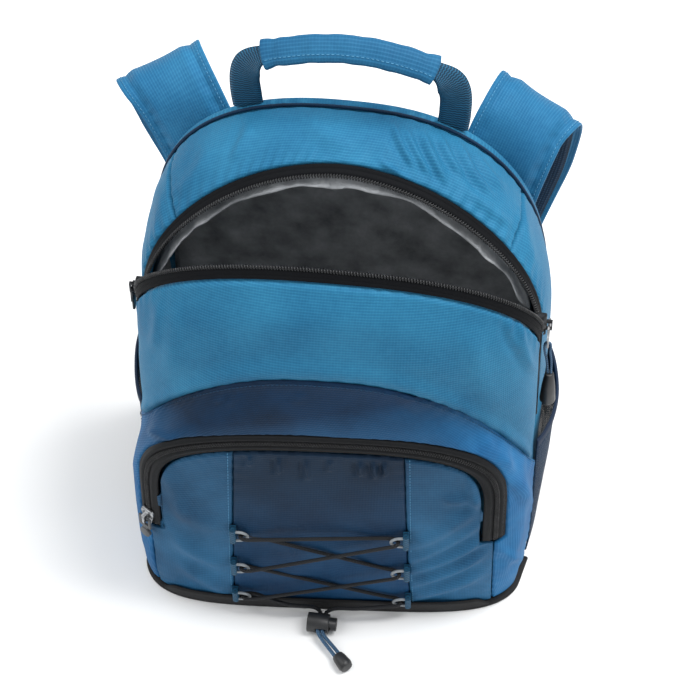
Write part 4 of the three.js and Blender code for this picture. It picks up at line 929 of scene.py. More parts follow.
def zip_line(u):
    """The pocket zip's middle as its distance from the bag's middle and its height: legs, then a square arch"""
    arch = arch_share(u)
    over = (u >= leg_share) & (u <= 1 - leg_share)
    leg = np.minimum(u, 1 - u) / leg_share
    x = np.where(over, -pocket_zip_across * bent(np.cos(np.pi * arch), 3), np.sign(u - 0.5) * pocket_zip_across)
    top = pocket_zip_turn + (pocket_zip_top - pocket_zip_turn) * bent(np.sin(np.pi * arch), 3)
    return x, np.where(over, top, lerp(floor_z, pocket_zip_turn, leg))


def beside_zip(u, distance):
    """The share and height at a distance from the zip's middle, outwards positive"""
    step = 2e-3
    x, z = zip_line(u)
    xa, za = zip_line(np.maximum(0, u - step))
    xb, zb = zip_line(np.minimum(1, u + step))
    s = pocket_share(x, z)
    along = unit(pocket_at(pocket_share(xb, zb), zb) - pocket_at(pocket_share(xa, za), za))
    per_s = (pocket_at(s + step, z) - pocket_at(s - step, z)) * 0.5 / step
    per_z = pocket_at(s, z + 0.5) - pocket_at(s, z - 0.5)
    side = np.cross(unit(np.cross(per_s, per_z)), along)
    dot = lambda a: (side * a).sum(-1) / (a * a).sum(-1)
    return s + distance * dot(per_s), z + distance * dot(per_z)


def pocket_room(u):
    closing = ease(pocket_zip_end - 6, pocket_zip_end - gap, zip_line(u)[1])
    return lerp(gap / 2, pocket_zip_half + gap, closing)


def pocket_gusset_at(u, v):
    """Straight from the pocket's seam to the zip"""
    arch = arch_share(u)
    s = lerp(pocket_side, 1 - pocket_side, arch)
    leg = np.clip(np.minimum(u, 1 - u) / leg_share, 0, 1)
    outer_z = np.where(leg < 1, lerp(floor_z, seam_z(s), leg), seam_z(s))
    zip_s, zip_z = beside_zip(u, pocket_room(u))
    return pocket_at(lerp(s, zip_s, v), lerp(outer_z, zip_z, v))


seam_arch = np.arccos((centre_half / pocket_zip_across) ** 1.5) / np.pi


def inside_zip(u):
    s, z = beside_zip(u, -(pocket_zip_half + gap) - 4 * gap)
    forward = bent(np.sin(np.pi * s), pocket_power)
    return face_sway(forward) - pocket_half(z) * bent(np.cos(np.pi * s), pocket_power), z


def pocket_centre_at(u, v):
    top_x, top_z = inside_zip(lerp(leg_share, 1 - leg_share, lerp(seam_arch, 1 - seam_arch, u)))
    foot_x = lerp(-centre_half, centre_half, u) * foot_flare
    return pocket_face(lerp(foot_x, top_x, v), lerp(floor_z, top_z, v))


def pocket_panel_at(hand):
    """A side panel of the pocket's face, from the zip's leg inwards, with level rows up to the zip's end"""

    def face(u, v):
        share = lerp(leg_share, 1 - leg_share, seam_arch * u)
        top_x, top_z = inside_zip(share if hand < 0 else 1 - share)
        foot_x = lerp(pocket_zip_across - gap, centre_half * foot_flare + gap, u) * hand
        end_z = pocket_zip_end - gap
        end_v = (end_z - floor_z) / (pocket_zip_turn - floor_z)
        z = np.where(v < end_v, lerp(floor_z, end_z, v / end_v), lerp(end_z, top_z, (v - end_v) / (1 - end_v)))
        leg = ease(pocket_zip_end - 6, end_z, z)
        rise = (z - floor_z) / (top_z - floor_z)
        return pocket_face(lerp(foot_x, top_x + hand * gap * u, lerp(leg, rise, ease(0, 0.4, u))), z)

    return face


def pocket_cloth_painted_shade(name, top_dark_painted_shade, top_light_painted_shade, low_dark, low_light, shade_start_z, top_z):
    """The ripstop again, passing from its colours at the foot to deeper ones at its top: painted shade, which
    lifts to the right, towards the key light
    """
    cloth = Finish(name, {"Specular IOR Level": 0.22})
    along, up = cloth.along("cloth")
    course = up.ribs(2.05) ** 2.0
    wale = along.ribs(2.05) ** 2.0
    at = cloth.node("ShaderNodeTexCoord", output=3)
    right = cloth.node("ShaderNodeSeparateXYZ", None, {"Vector": at}, 0)
    height = cloth.node("ShaderNodeSeparateXYZ", None, {"Vector": at}, 2)
    # Painted shade: the colour darkens towards the top and to the left, away from the key light on the right.
    rise = (height * 1000 - right * 220).between(shade_start_z, top_z)
    cloud = cloth.spots(50, 3.0)
    fine = cloth.spots(3.5, 2.0)
    shade = cloud.between(0.3, 0.7) * 0.7 + fine.between(0.3, 0.7) * 0.12 + course * 0.22 + wale * 0.12
    dark = cloth.mix(low_dark, top_dark_painted_shade, rise)
    light = cloth.mix(low_light, top_light_painted_shade, rise)
    cloth.paint(colour=cloth.mix(dark, light, shade), roughness=0.74 - 0.12 * course - 0.08 * cloud)
    cloth.relief(course * 0.6 + wale * 0.35 + fine * 0.25, 0.15)
    return cloth.material


# The top colours and the heights of these three finishes set painted shade, deepest under the front wall's roll
# and under the pocket's zip.
band_cloth_painted_shade = pocket_cloth_painted_shade("band_cloth_painted_shade", rgb(0, 22, 42), rgb(2, 46, 80), rgb(10, 74, 122), rgb(36, 112, 162),
                          170, 235)
side_cloth_painted_shade = pocket_cloth_painted_shade("side_panel_cloth_painted_shade", rgb(6, 42, 68), rgb(30, 80, 114), rgb(12, 62, 98),
                          rgb(44, 106, 146), 20, 190)
centre_cloth_painted_shade = pocket_cloth_painted_shade("centre_panel_cloth_painted_shade", rgb(0, 22, 42), rgb(4, 42, 68), rgb(4, 44, 78),
                            rgb(16, 70, 110), 20, 170)
band_folds = [
    (148, 430, 176, 441, 4, 1.6, 1),
    (160, 398, 154, 440, 6, 1.0, 0),
    (226, 396, 216, 404, 3, 0.9, 0),
    (240, 394, 228, 408, 3, 0.8, 0),
    (300, 392, 296, 404, 4, 0.6, 0),
    (400, 392, 420, 410, 6, 0.6, 0),
    (480, 430, 512, 470, 6, 1.4, 3),
    (500, 440, 528, 500, 6, 1.5, 3),
    (520, 452, 532, 512, 5, 1.2, 3),
    (496, 545, 524, 560, 5, 1.3, 2),
    (500, 575, 520, 530, 5, 1.3, 2),
    (150, 540, 170, 590, 5, 1.1, 0),
    (146, 548, 156, 586, 4, 1.0, 0),
]
band_base = grid(pocket_gusset_at, np.linspace(1, 0, 420), np.linspace(0, 1, 64))
band_along, band_across = lengths(band_base)
band_lift = 1.7 * folds(band_base, band_folds) + 0.4 * ripple(band_base, 55, 51)
band_lift += 0.6 * puckers(band_along, band_across, 12, 7, 52)
band_lift += 0.4 * puckers(band_along, band_across[:, -1:] - band_across, 9, 4, 53)
pocket_band = wall("pocket_band", band_base, cloth_thick, band_lift, edge=2.2)
place(pocket_band, band_cloth_painted_shade, "navy ripstop", ["pocket_gusset"])

panel_folds = {
    "centre": [
        (279, 458, 279, 474, 3, 1.1, 0), (306, 460, 308, 480, 3, 1.2, 0), (330, 460, 329, 472, 3, 0.8, 0),
        (360, 461, 361, 476, 3, 1.2, 0), (373, 462, 376, 478, 2.6, 1.2, 0), (384, 463, 386, 476, 2.4, 1.1, 0),
        (250, 456, 249, 466, 3, 0.8, 0), (240, 566, 310, 574, 8, 0.8, 2), (390, 566, 330, 577, 8, 0.8, 2),
        (236, 533, 300, 520, 9, 0.7, 0), (236, 532, 300, 548, 7, 0.8, -2), (388, 540, 330, 552, 7, 0.7, 2),
    ],
    "left": [
        (172, 536, 228, 566, 6, 1.3, 3), (178, 560, 230, 590, 6, 1.2, 3), (168, 500, 222, 530, 8, 1.0, 3),
        (160, 462, 190, 520, 8, 0.9, 0), (186, 590, 228, 600, 5, 0.8, 1),
    ],
    "right": [
        (402, 562, 484, 520, 5, 1.5, 4), (404, 572, 488, 536, 4.5, 1.6, 4), (408, 584, 488, 552, 4.5, 1.5, 3),
        (406, 548, 480, 506, 6, 1.1, 4), (412, 596, 486, 572, 5, 1.3, 2), (440, 500, 484, 498, 5, 0.9, 2),
        (470, 480, 478, 510, 5, 1.0, 0),
    ],
}
centre_base = grid(pocket_centre_at, np.linspace(0, 1, 180), np.linspace(0, 1, 230))
panel_bases = {
    "centre": centre_base,
    "left": grid(pocket_panel_at(-1), np.linspace(0, 1, 110), np.linspace(0, 1, 200)),
    "right": grid(pocket_panel_at(1), np.linspace(1, 0, 110), np.linspace(0, 1, 200)),
}
for side, base in panel_bases.items():
    along, up = lengths(base)
    to_top = up[:, -1:] - up
    to_seam = np.minimum(along, along[-1:] - along)
    lift = 2.7 * folds(base, panel_folds[side]) + 0.4 * ripple(base, 50, 61 + len(side))
    lift += 0.45 * puckers(along, to_top, 10, 9, 62 + len(side)) + 0.35 * puckers(up, to_seam, 11, 6, 64)
    panel = wall(f"pocket_face_{side}", base, cloth_thick, lift * ease(0, 12, up), edge=2.0)
    place(panel, centre_cloth_painted_shade if side == "centre" else side_cloth_painted_shade, "navy ripstop", [f"pocket_panel_{side}"])


# Seams: a row of lock stitches in pale or navy thread beside the joints of the pocket's panels. The handle's
# sleeve and the straps take the same stitches further on.
def stitches(name, path, out, material, pitch=3.2, stitch=2.3, thread=0.26):
    """Short beads of thread along a line: each is a squashed tube of 5 sides that dips at both ends"""
    path, out = evenly(path, out, step=pitch)
    out = unit(out)
    way = unit(np.gradient(path, axis=0))
    side = np.cross(way, out)
    t = np.array([-0.5, -0.32, 0, 0.32, 0.5])
    rise = np.array([-0.5, 0.5, 0.75, 0.5, -0.5]) * thread
    thick = np.array([0.2, 0.9, 1.0, 0.9, 0.2]) * thread
    a = around(5)
    spine = path[:, None] + way[:, None] * (t * stitch)[None, :, None] + out[:, None] * rise[None, :, None]
    ring = side[:, None, None] * np.cos(a)[None, None, :, None]
    ring = ring + out[:, None, None] * np.sin(a)[None, None, :, None]
    points = spine[:, :, None] + ring * thick[None, :, None, None]
    one = quads_of(5, 5, wrap_columns=True)[:, ::-1]
    quads = (one[None] + 25 * np.arange(len(path))[:, None, None]).reshape(-1, 4)
    made = build(name, points.reshape(-1, 3), quads)
    return place(made, material, "blue cord")


thread = Finish("blue_thread", {"Specular IOR Level": 0.4})
thread.paint(colour=thread.mix(rgb(58, 118, 156), rgb(96, 160, 196), thread.spots(4)),
             roughness=0.55 + 0.2 * thread.spots(3))
thread.relief(thread.spots(0.8), 0.03)
for side, base, column_at in (("left", panel_bases["left"], -4), ("right", panel_bases["right"], 3)):
    out = normals(base)[column_at]
    stitches(f"pocket_stitches_{side}", base[column_at] + out * 0.2, out, thread.material)
seam_line = band_base[14:-14, 3]
navy_thread = Finish("navy_thread", {"Specular IOR Level": 0.3})
navy_thread.paint(colour=navy_thread.mix(rgb(4, 40, 68), rgb(20, 74, 108), navy_thread.spots(4)), roughness=0.7)
seam_out = normals(band_base)[14:-14, 3]
stitches("pocket_seam_stitches", seam_line + seam_out * 0.3, seam_out, navy_thread.material)


# The pocket's closed zip: charcoal tape with both coils locked in its middle, a slider on the left and a
# moulded grip on its pull.
charcoal = Finish("charcoal_tape", {"Specular IOR Level": 0.15})
coal_along, coal_across = charcoal.along("cloth")
twill = ((coal_along + coal_across) * (2 * np.pi / 1.3)).wave()
charcoal.paint(colour=charcoal.mix(rgb(6, 7, 9), rgb(28, 30, 33), twill * 0.4 + charcoal.spots(12) * 0.4),
               roughness=0.66 - 0.14 * twill)
charcoal.relief(twill + charcoal.spots(2) * 0.4, 0.1)
low_u = leg_u(pocket_zip_end, pocket_zip_turn)
zip_u = np.linspace(low_u, 1 - low_u, 420)
zip_v = np.linspace(-1, 1, 41)
tape_grid = grid(lambda u, v: pocket_at(*beside_zip(u, -v * pocket_zip_half)), zip_u, zip_v)[:, ::-1]
away = np.abs(zip_v)[::-1][None, :] * pocket_zip_half
tape_lift = -0.3 + 0.9 * np.exp(-(((away - 4.6) / 1.6) ** 2)) - 0.7 * np.exp(-((away / 1.8) ** 2))
pocket_tape = wall("pocket_zip_tape", tape_grid, 1.6, tape_lift + 0 * tape_grid[..., 0], edge=1.2)
place(pocket_tape, charcoal.material, "black zip", ["pocket_zip"])
middle_column = len(zip_v) // 2
tape_out = normals(tape_grid)[:, middle_column]
for name, hand in (("in", -1), ("out", 1)):
    line = tape_grid[:, middle_column + 2 * hand] - tape_out * 0.2
    side = unit(np.cross(tape_out, np.gradient(line, axis=0)))
    teeth = coil(f"pocket_teeth_{name}", line, side, tape_out, pitch=1.9, wide=0.85, high=0.75, wire=0.42)
    place(teeth, nylon.material, "black zip", ["pocket_zip"])
dressed("pocket_slider", "pocket_slider_body", pale_nickel, "slider metal")
grip_grey = Finish("grey_rubber", {"Specular IOR Level": 0.45})
grip_grey.paint(colour=grip_grey.mix(rgb(40, 42, 44), rgb(96, 99, 102), grip_grey.spots(6)),
                roughness=0.42 + 0.2 * grip_grey.spots(3))
grip_grey.relief(grip_grey.spots(1.5), 0.05)
dressed("pocket_pull", "pocket_pull_grip", grip_grey.material, "grey plastic", "pocket_pull")


# The floor panel: coated black cloth over a stiffener, turned up in front as a rim that is sewn over the
# pocket's foot.
base_thick = 4.0
coated = Finish("coated_black", {"Specular IOR Level": 0.35})
pebble = coated.spots(1.4, 2.0)
coated_shade = pebble.between(0.35, 0.7) * 0.6 + coated.spots(30) * 0.3
coated.paint(colour=coated.mix(rgb(8, 8, 9), rgb(28, 28, 30), coated_shade),
             roughness=0.6 + 0.2 * coated.spots(20))
coated.relief(pebble, 0.12)
rim_side, rim_clear, rim_height, rim_thick = 0.25, 1.0, 14.0, 2.0


def rim_face(s, z):
    return offset(pocket_at, s, z, rim_clear + rim_thick)


def rim_at(s, t):
    side = np.minimum(s - rim_side, 1 - rim_side - s) / 0.06
    return rim_face(s, lerp(base_thick / 2, rim_height * lerp(0.45, 1, ease(0, 1, side)), t))


rim_grid = grid(rim_at, np.linspace(rim_side, 1 - rim_side, 240), np.linspace(0, 1, 18))
rim_piece = wall("base_rim", rim_grid, rim_thick, 0.25 * ripple(rim_grid, 40, 71), edge=1.4,
                 ends=(True, True, False, True))
place(rim_piece, coated.material, "black base cloth", ["base_panel"])
foot_half = half_at(0.0) + cloth_thick + gap
foot_corner, foot_start_y = 6.0, front_start_y - 16
front_foot = rim_face(np.linspace(0.04, 0.96, 150), floor_z + 0 * np.linspace(0, 1, 150))
foot_side = np.array([[foot_half, foot_start_y, 0], [foot_half, back_y, 0],
                      [foot_half - foot_corner, back_y + back_thick, 0]])
corners = np.concatenate([foot_side, foot_side[::-1] * [-1, 1, 1]])
foot_line = np.concatenate([front_foot * [1, 1, 0], corners])
foot_line = evenly(np.concatenate([foot_line, foot_line[:1]]), step=3.0)[0][:-1]
turn = np.linspace(0, np.pi, 9)
foot_turn = [(0.99 + 0.01 * np.sin(a), base_thick / 2 * (1 - np.cos(a))) for a in turn]
foot_rows = [(0.0, 0.0), (0.5, 0.0)] + foot_turn + [(0.5, base_thick), (0.0, base_thick)]
foot_middle = np.array([0.0, -5.0, 0.0])
foot_grid = np.stack([foot_middle + (foot_line - foot_middle) * share + [0, 0, z] for share, z in foot_rows], 1)
rows, columns = foot_grid.shape[:2]
foot_plate = build("base_plate", foot_grid.reshape(-1, 3), quads_of(rows, columns, wrap_rows=True)[:, ::-1],
                   weld=True)
place(foot_plate, coated.material, "black base cloth", ["base_panel"])


# The net side pockets: open knitted mesh, gathered at its ends, with a bound edge.
mesh_top_z, net_thick, net_swell = 138.0, 1.2, 11.5
net_from_y, net_to_y = front_start_y - 6, back_y - 5
net = Finish("navy_net", {"Specular IOR Level": 0.25})
net_along, net_up = net.along("cloth")
holes = net_along.ribs(2.4) * net_up.ribs(2.4)
offset_holes = (net_along * (2 * np.pi / 2.4) + np.pi).wave() * (net_up * (2 * np.pi / 2.4) + np.pi).wave()
open_part = (holes + offset_holes).between(0.62, 0.76)
net.paint(
    colour=net.mix(rgb(6, 26, 48), rgb(26, 58, 86), net.spots(20) * 0.5 + (holes + offset_holes) * 0.4),
    roughness=0.7 + 0.1 * net.spots(5),
    alpha=1 - open_part * 0.65,
)
net.relief(1 - holes - offset_holes, 0.3)
trim_cloth = Finish("navy_trim", {"Specular IOR Level": 0.3})
trim_along, _ = trim_cloth.along("cloth")
trim_rib = trim_along.ribs(1.1)
trim_shade = trim_rib * 0.5 + trim_cloth.spots(10) * 0.3
trim_cloth.paint(colour=trim_cloth.mix(rgb(10, 22, 40), rgb(28, 52, 80), trim_shade),
                 roughness=0.75 - 0.1 * trim_rib)
trim_cloth.relief(trim_rib, 0.12)


def net_at(hand, low, high, lift):
    """A wall that follows the bag's side and swells off it towards its top and the middle of its length"""

    def face(u, v):
        y = lerp(net_from_y, net_to_y, u if hand > 0 else 1 - u)
        z = lerp(low, high, v)
        across = (y - net_from_y) / (net_to_y - net_from_y)
        swell = np.abs(np.sin(np.pi * across)) ** 0.7 * lerp(2, net_swell, z / mesh_top_z)
        x = hand * (half_at(z) + 1.1 + net_thick + swell + lift) + sway_at(y)
        return np.stack([x, y, z], -1)

    return face


net_u = 0.5 - 0.5 * np.cos(np.pi * np.linspace(0, 1, 120))
for side, hand in (("left", -1), ("right", 1)):
    base = grid(net_at(hand, floor_z, mesh_top_z - gap, 0), net_u, np.linspace(0, 1, 90))
    lift = 0.5 * ripple(base, 40, 81) * np.sin(np.pi * np.linspace(0, 1, 120))[:, None]
    sheet = wall(f"net_{side}", base, net_thick, lift, edge=0.6)
    place(sheet, net.material, "navy mesh", [f"mesh_pocket_{side}"])
    base = grid(net_at(hand, mesh_top_z, mesh_top_z + 8, 0.4), net_u, np.linspace(0, 1, 16))
    bead = 0.5 * np.sin(np.pi * np.linspace(0, 1, 16))[None, :]
    trim = wall(f"net_trim_{side}", base, net_thick + 0.8, bead + 0.2 * ripple(base, 25, 82), edge=0.9)
    place(trim, trim_cloth.material, "navy binding", [f"mesh_binding_{side}"])


# The lacing: moulded rings in webbing tabs, a braided elastic that crosses twice, and a cord lock on the floor.
lace_radius = 1.4
ring_wire, ring_reach, ring_half, ring_off = 1.1, 10.0, 5.0, 5.2
ring_heights = {"top": 103.0, "middle": 62.0, "bottom": 22.0}


def face_frame(x, z):
    """A point of the pocket's face and the ways across, up and out of it"""
    at = lambda a, b: pocket_face(np.array(a), np.array(b))
    across = unit(at(x + 0.5, z) - at(x - 0.5, z))
    out = unit(np.cross(across, at(x, z + 0.5) - at(x, z - 0.5)))
    return at(x, z), across, np.cross(out, across), out


def ring_place(hand, z):
    x = hand * (centre_half * lerp(foot_flare, 1, z / pocket_zip_top) - 2)
    p, across, up, out = face_frame(x, z)
    return lambda a, b, h: p - across * hand * a + up * b + out * h


ring_grey = Finish("grey_nylon", {"Specular IOR Level": 0.5})
ring_grey.paint(colour=ring_grey.mix(rgb(104, 110, 114), rgb(158, 164, 168), ring_grey.spots(5)),
                roughness=0.36 + 0.2 * ring_grey.spots(3))
ring_grey.relief(ring_grey.spots(1.5), 0.03)
webbing_navy = Finish("navy_webbing", {"Specular IOR Level": 0.35})
web_along, web_across = webbing_navy.along("cloth")
web_rib = (web_along * (2 * np.pi / 2.4) + web_across.ribs(3.5) * 1.6).wave()
web_shade = web_rib ** 1.5 * 0.6 + webbing_navy.spots(8) * 0.25
webbing_navy.paint(colour=webbing_navy.mix(rgb(0, 18, 36), rgb(34, 108, 146), web_shade),
                   roughness=0.72 - 0.2 * web_rib)
webbing_navy.relief(web_rib, 0.25)
rings = {}
ring_bow = [[-1.2, 1], [2.5, 1], [6.5, 0.86], [9.2, 0.45], [10, 0]]
ring_bow += [[a, -b] for a, b in ring_bow[-2::-1]]
for level_name, z in ring_heights.items():
    for side, hand in (("left", -1), ("right", 1)):
        at = ring_place(hand, z)
        node = f"{side}_{level_name}"
        rings[node] = at
        bow = curve([at(a * ring_reach / 10, b * ring_half, ring_off) for a, b in ring_bow], 6)
        ring = tube(f"ring_{node}", bow, ring_wire, 14, flat=0.9)
        place(ring, ring_grey.material, "grey plastic", [f"lace_ring_{node}"])
        high, top = ring_half + ring_wire + 1.4, ring_off + ring_wire + 0.9
        a = np.linspace(0, np.pi, 15)
        over = [(-0.75 + 2.25 * np.cos(t), top - 1.6 + 1.6 * np.sin(t)) for t in a]
        section = np.array([(1.5, 0.4)] + over + [(-3.0, 0.4)])
        points = np.array([[at(p[0], b, p[1]) for p in section] for b in np.linspace(-high, high, 12)])
        tab = closed_band(f"tab_{node}", points)
        place(tab, webbing_navy.material, "navy webbing", [f"lace_tab_{node}"])


def braided(name, dark, light, pitch, strands, worn, worn_size, rough):
    """A braided sleeve: two sets of strands that cross as they wind round the cord"""
    made = Finish(name, {"Specular IOR Level": 0.3})
    along, round_it = made.along("cloth")
    one_way = (along * (2 * np.pi / pitch) + round_it * (2 * np.pi / 2.2)).wave()
    other_way = (along * (2 * np.pi / pitch) - round_it * (2 * np.pi / 2.2)).wave()
    weave = one_way * other_way
    shade = weave * strands + made.spots(worn_size) * worn
    made.paint(colour=made.mix(dark, light, shade), roughness=rough - 0.2 * weave)
    made.relief(weave, 0.25)
    return made


braid = braided("black_braid", rgb(12, 13, 15), rgb(52, 54, 58), 2.4, 0.7, 0.2, 8, 0.8)
blue_braid = braided("blue_braid", rgb(34, 58, 84), rgb(98, 136, 168), 2.2, 0.6, 0.3, 6, 0.78)
lock_at = np.array([2.0, -111.0, 8.0])
lace_over, lace_under = ring_off + ring_wire + lace_radius + 0.6, ring_off - ring_wire - lace_radius - 0.4
slot_x = [-1.8, 1.6]


def turn_round(name, first, last, tilt_first, tilt_last):
    at, middle = rings[name], ring_off
    return [
        at(13.5, tilt_first * 4.4, first), at(10, tilt_first * 2.6, first),
        at(6.4, tilt_first * 1.2, lerp(middle, first, 0.75)), at(4.6, 0, middle),
        at(6.4, tilt_last * 1.2, lerp(middle, last, 0.75)), at(10, tilt_last * 2.6, last),
        at(13.5, tilt_last * 4.4, last),
    ]


lace_line = [
    lock_at + [slot_x[0], 1, 0], lock_at + [slot_x[0], 8.5, 0], lock_at + [-6, 9.5, 5], lock_at + [-26, 6, 11],
    *turn_round("left_bottom", lace_under, lace_over, -0.2, 0.6),
    *turn_round("right_middle", lace_over, lace_under, -0.6, 0.6),
    *turn_round("left_top", lace_under, lace_over, -0.6, 0.2),
    *turn_round("right_top", lace_under, lace_over, 0.2, -0.6),
    *turn_round("left_middle", lace_over, lace_under, 0.6, -0.6),
    *turn_round("right_bottom", lace_under, lace_over, 0.6, -0.2),
    lock_at + [26, 9, 11], lock_at + [7, 10, 5], lock_at + [slot_x[1], 8.5, 0], lock_at + [slot_x[1], 1, 0],
]
lace = tube("lace", curve(lace_line, 10), lace_radius, 12)
place(lace, braid.material, "black cord", ["lace_cord"])
plastic = Finish("black_plastic", {"Specular IOR Level": 0.5})
plastic.paint(colour=plastic.mix(rgb(15, 16, 17), rgb(42, 43, 45), plastic.spots(10)),
              roughness=0.36 + 0.22 * plastic.spots(6))
plastic.relief(plastic.spots(1.2), 0.04)
dressed("cord_lock", "lock_barrel", plastic.material, "black plastic", edge=0.7)
dressed("cord_lock_button", "lock_button_piece", plastic.material, "black plastic", "lock_button", edge=0.5)
tail_end = np.array([20.0, -139.0, 6.0])
tail_way = unit(np.array([tail_end[0] - lock_at[0], tail_end[1] - lock_at[1] + 8, 0]))
tail_side = np.array([-tail_way[1], tail_way[0], 0])
lace_stop = dressed("lace_end", "lace_stop", plastic.material, "black plastic", edge=0.6)
for side, x, hand in (("left", slot_x[0], -1), ("right", slot_x[1], 1)):
    beside = lambda back: tail_end - tail_way * back + tail_side * hand * (lace_radius + 0.4)
    line = [lock_at + [x, 0.4, 0], lock_at + [x, -7.5, 0], beside(9), beside(3), beside(-1)]
    path = curve(line, 14)
    tail = tube(f"tail_{side}", path, lace_radius, 12)
    place(tail, blue_braid.material, "blue cord", [f"lace_tail_{side}"])


# The right pull's cord: a thin braided loop through its hole, held in a moulded bell.
pull_length = 24.0
pull_hinge = np.array([149.905, -8.0, 260.0])
pull_axes = np.array([[0.0, 1.0, 0.0], [0.0, 0.0, 1.0], [1.0, 0.0, 0.0]])
cord_drop, grip_lean = 30.0, 2.5
loop_points = [
    [0, -cord_drop, grip_lean + 1.1], [0, -cord_drop / 2, 0.6 * grip_lean + 1.6], [0, -5, 1.9], [0, 1, 2.2],
    [0, 3.8, 1.4], [0, 4.4, 0], [0, 3.8, -1.4], [0, 1, -2.1], [0, -5, -1.9],
    [0, -cord_drop / 2, 0.6 * grip_lean - 1.6], [0, -cord_drop, grip_lean - 1.1],
]
loop_path = curve((np.array(loop_points) - [0, pull_length, 0]) @ pull_axes + pull_hinge, 10)
pull_loop = tube("pull_loop", loop_path, 0.9, 12)
place(pull_loop, blue_braid.material, "blue cord", ["pull_cord_right"], "right_pull")
dressed("cord_grip_right", "cord_bell", plastic.material, "black plastic", "right_pull", edge=0.5)


# The haul handle: ribbed webbing out of the crown's seam, folded narrow in a padded sleeve of the light strap
# cloth that flares a little at both ends.
web_width, web_thick = 22.0, 2.0
grip_long, grip_wide, grip_deep = 118.0, 19.5, 10.0
handle_half, handle_rise = 70.0, 46.0


def band_frames(points, across, per_span):
    """A smooth line with the ways along its width and out of its face"""
    line, aim = curve(points, per_span), curve(across, per_span)
    way = unit(np.gradient(line, axis=0))
    side = unit(aim - way * (aim * way).sum(-1, keepdims=True))
    return line, side, np.cross(side, way)


def ribbon(name, line, side, out, width, thick, lift=0.0, count=10):
    """A flat band with rounded edges"""
    across = np.linspace(-1, 1, count)
    high = np.sqrt(np.clip(1 - np.abs(across) ** 12, 0, 1))
    w = np.concatenate([across, across[-2:0:-1]])
    h = np.concatenate([high, -high[-2:0:-1]])
    half = (np.zeros(len(line)) + width)[:, None] / 2
    points = line[:, None] + side[:, None] * (half * w)[..., None]
    return closed_band(name, points + out[:, None] * (h * thick / 2 + lift)[None, :, None])


half_line = np.array([
    [-handle_half + 1, 0, 20 - 2 * web_width], [-handle_half - 2, 0, 0],
    [-handle_half - 1, -1, 0.55 * handle_rise], [-handle_half + 8, -2, 0.87 * handle_rise],
    [-handle_half + 22, -2, handle_rise], [-22, -2, handle_rise + 7], [0, -2, handle_rise + 9],
])
half_across = np.array([[1, 0, 0], [1, 0, 0], [0.9, -0.3, -0.2], [0.45, -0.7, -0.5], [0.05, -0.8, -0.6],
                        [0, -0.8, -0.6], [0, -0.8, -0.6]])
handle_middle = np.array([0, back_y + gap + back_thick / 2, body_height])
handle_points = np.concatenate([half_line, half_line[-2::-1] * [-1, 1, 1]]) + handle_middle
handle_across = np.concatenate([half_across, half_across[-2::-1] * [-1, 1, 1]])
handle_line, handle_side, handle_out = band_frames(handle_points, handle_across, 26)
share = np.linspace(0, 1, len(handle_line))
folded = ease(0, 1, np.clip((np.abs(share - 0.5) - 0.22) / 0.1, 0, 1))
crown = back_edge(np.linspace(leg_share, 1 - leg_share, 300))
free = handle_line[:, 2] > np.interp(handle_line[:, 0], crown[:, 0], crown[:, 2]) - 1.5
web = ribbon("handle_web", handle_line[free], handle_side[free], handle_out[free],
             lerp(0.58 * web_width, web_width, folded)[free], web_thick)
place(web, webbing_navy.material, "navy webbing", ["handle_webbing"])

strap_cloth = ripstop("strap_ripstop", rgb(14, 84, 126), rgb(54, 130, 170), 0.5)
held = np.abs(handle_line[:, 0]) < grip_long / 2
sleeve_line, *ways = evenly(handle_line[held], handle_side[held], handle_out[held], step=0.9)
sleeve_side, sleeve_out = (unit(way) for way in ways)
stations = len(sleeve_line)
along = np.linspace(-1, 1, stations)[:, None]
angle = around(48)[None, :]
flare = 1 + 0.09 * ease(0.82, 1.0, np.abs(along)) - 0.05 * np.exp(-(((np.abs(along) - 0.84) / 0.05) ** 2))
closing = np.sqrt(np.clip(1 - np.clip((np.abs(along) - 0.985) / 0.015, 0, 1) ** 2, 0.5, 1))
plump = 0.175 * np.sin(along * 31 + 2 * np.sin(angle)) + 0.35 * np.sin(along * 17 + angle)
seam_angle = 4.2
sleeve_seam = 0.7 * np.exp(-((angle - seam_angle) ** 2) / 0.01)
wide = grip_wide / 2 * flare * closing * bent(np.cos(angle), 2.6)
deep = grip_deep / 2 * flare * closing * bent(np.sin(angle), 2.6)
sleeve = sleeve_line[:, None] + sleeve_side[:, None] * (wide + 0.5 * plump * np.cos(angle))[..., None]
sleeve = sleeve + sleeve_out[:, None] * (deep + 0.6 * plump * np.sin(angle) - sleeve_seam)[..., None]
grip = closed_band("grip_sleeve", sleeve)
grip_cloth = ripstop("grip_ripstop", rgb(8, 70, 108), rgb(46, 114, 152))
place(grip, grip_cloth, "blue strap cloth", ["handle_grip"])
for name, column_at in (("top", 9), ("front", 40)):
    row = sleeve[4:-4, column_at]
    stitches(f"grip_stitches_{name}", row, row - sleeve_line[4:-4], thread.material)


# The shoulder straps: foam in the same cloth, with a flat sewn edge 8 mm wide on both sides, lined with
# net. Each is sewn to the back panel and comes down to a ladder lock.
strap_wide, strap_thick, lining_thick = 66.0, 8.0, 1.2
strap_rows = {
    "x": [94, 106, 118, 130, 141, 148, 147, 138, 125, 114, 107],
    "y": [0.5, 4, 12, 24, 39, 55, 66, 71, 68, 58, 47],
    "z": [256, 284, 306, 321, 325, 314, 290, 248, 204, 164, 130],
    "sx": [0.88, 0.85, 0.8, 0.78, 0.8, 0.86, 0.93, 1, 1, 1, 1],
    "sy": [0, 0.02, 0.1, 0.2, 0.32, 0.32, 0.24, 0.1, 0, 0, 0],
    "sz": [0.46, 0.52, 0.58, 0.58, 0.5, 0.34, 0.2, 0.08, 0, -0.04, -0.04],
}
strap_face_y = back_y + gap + back_thick
strap_lift = strap_thick / 2 + lining_thick + 3 * gap
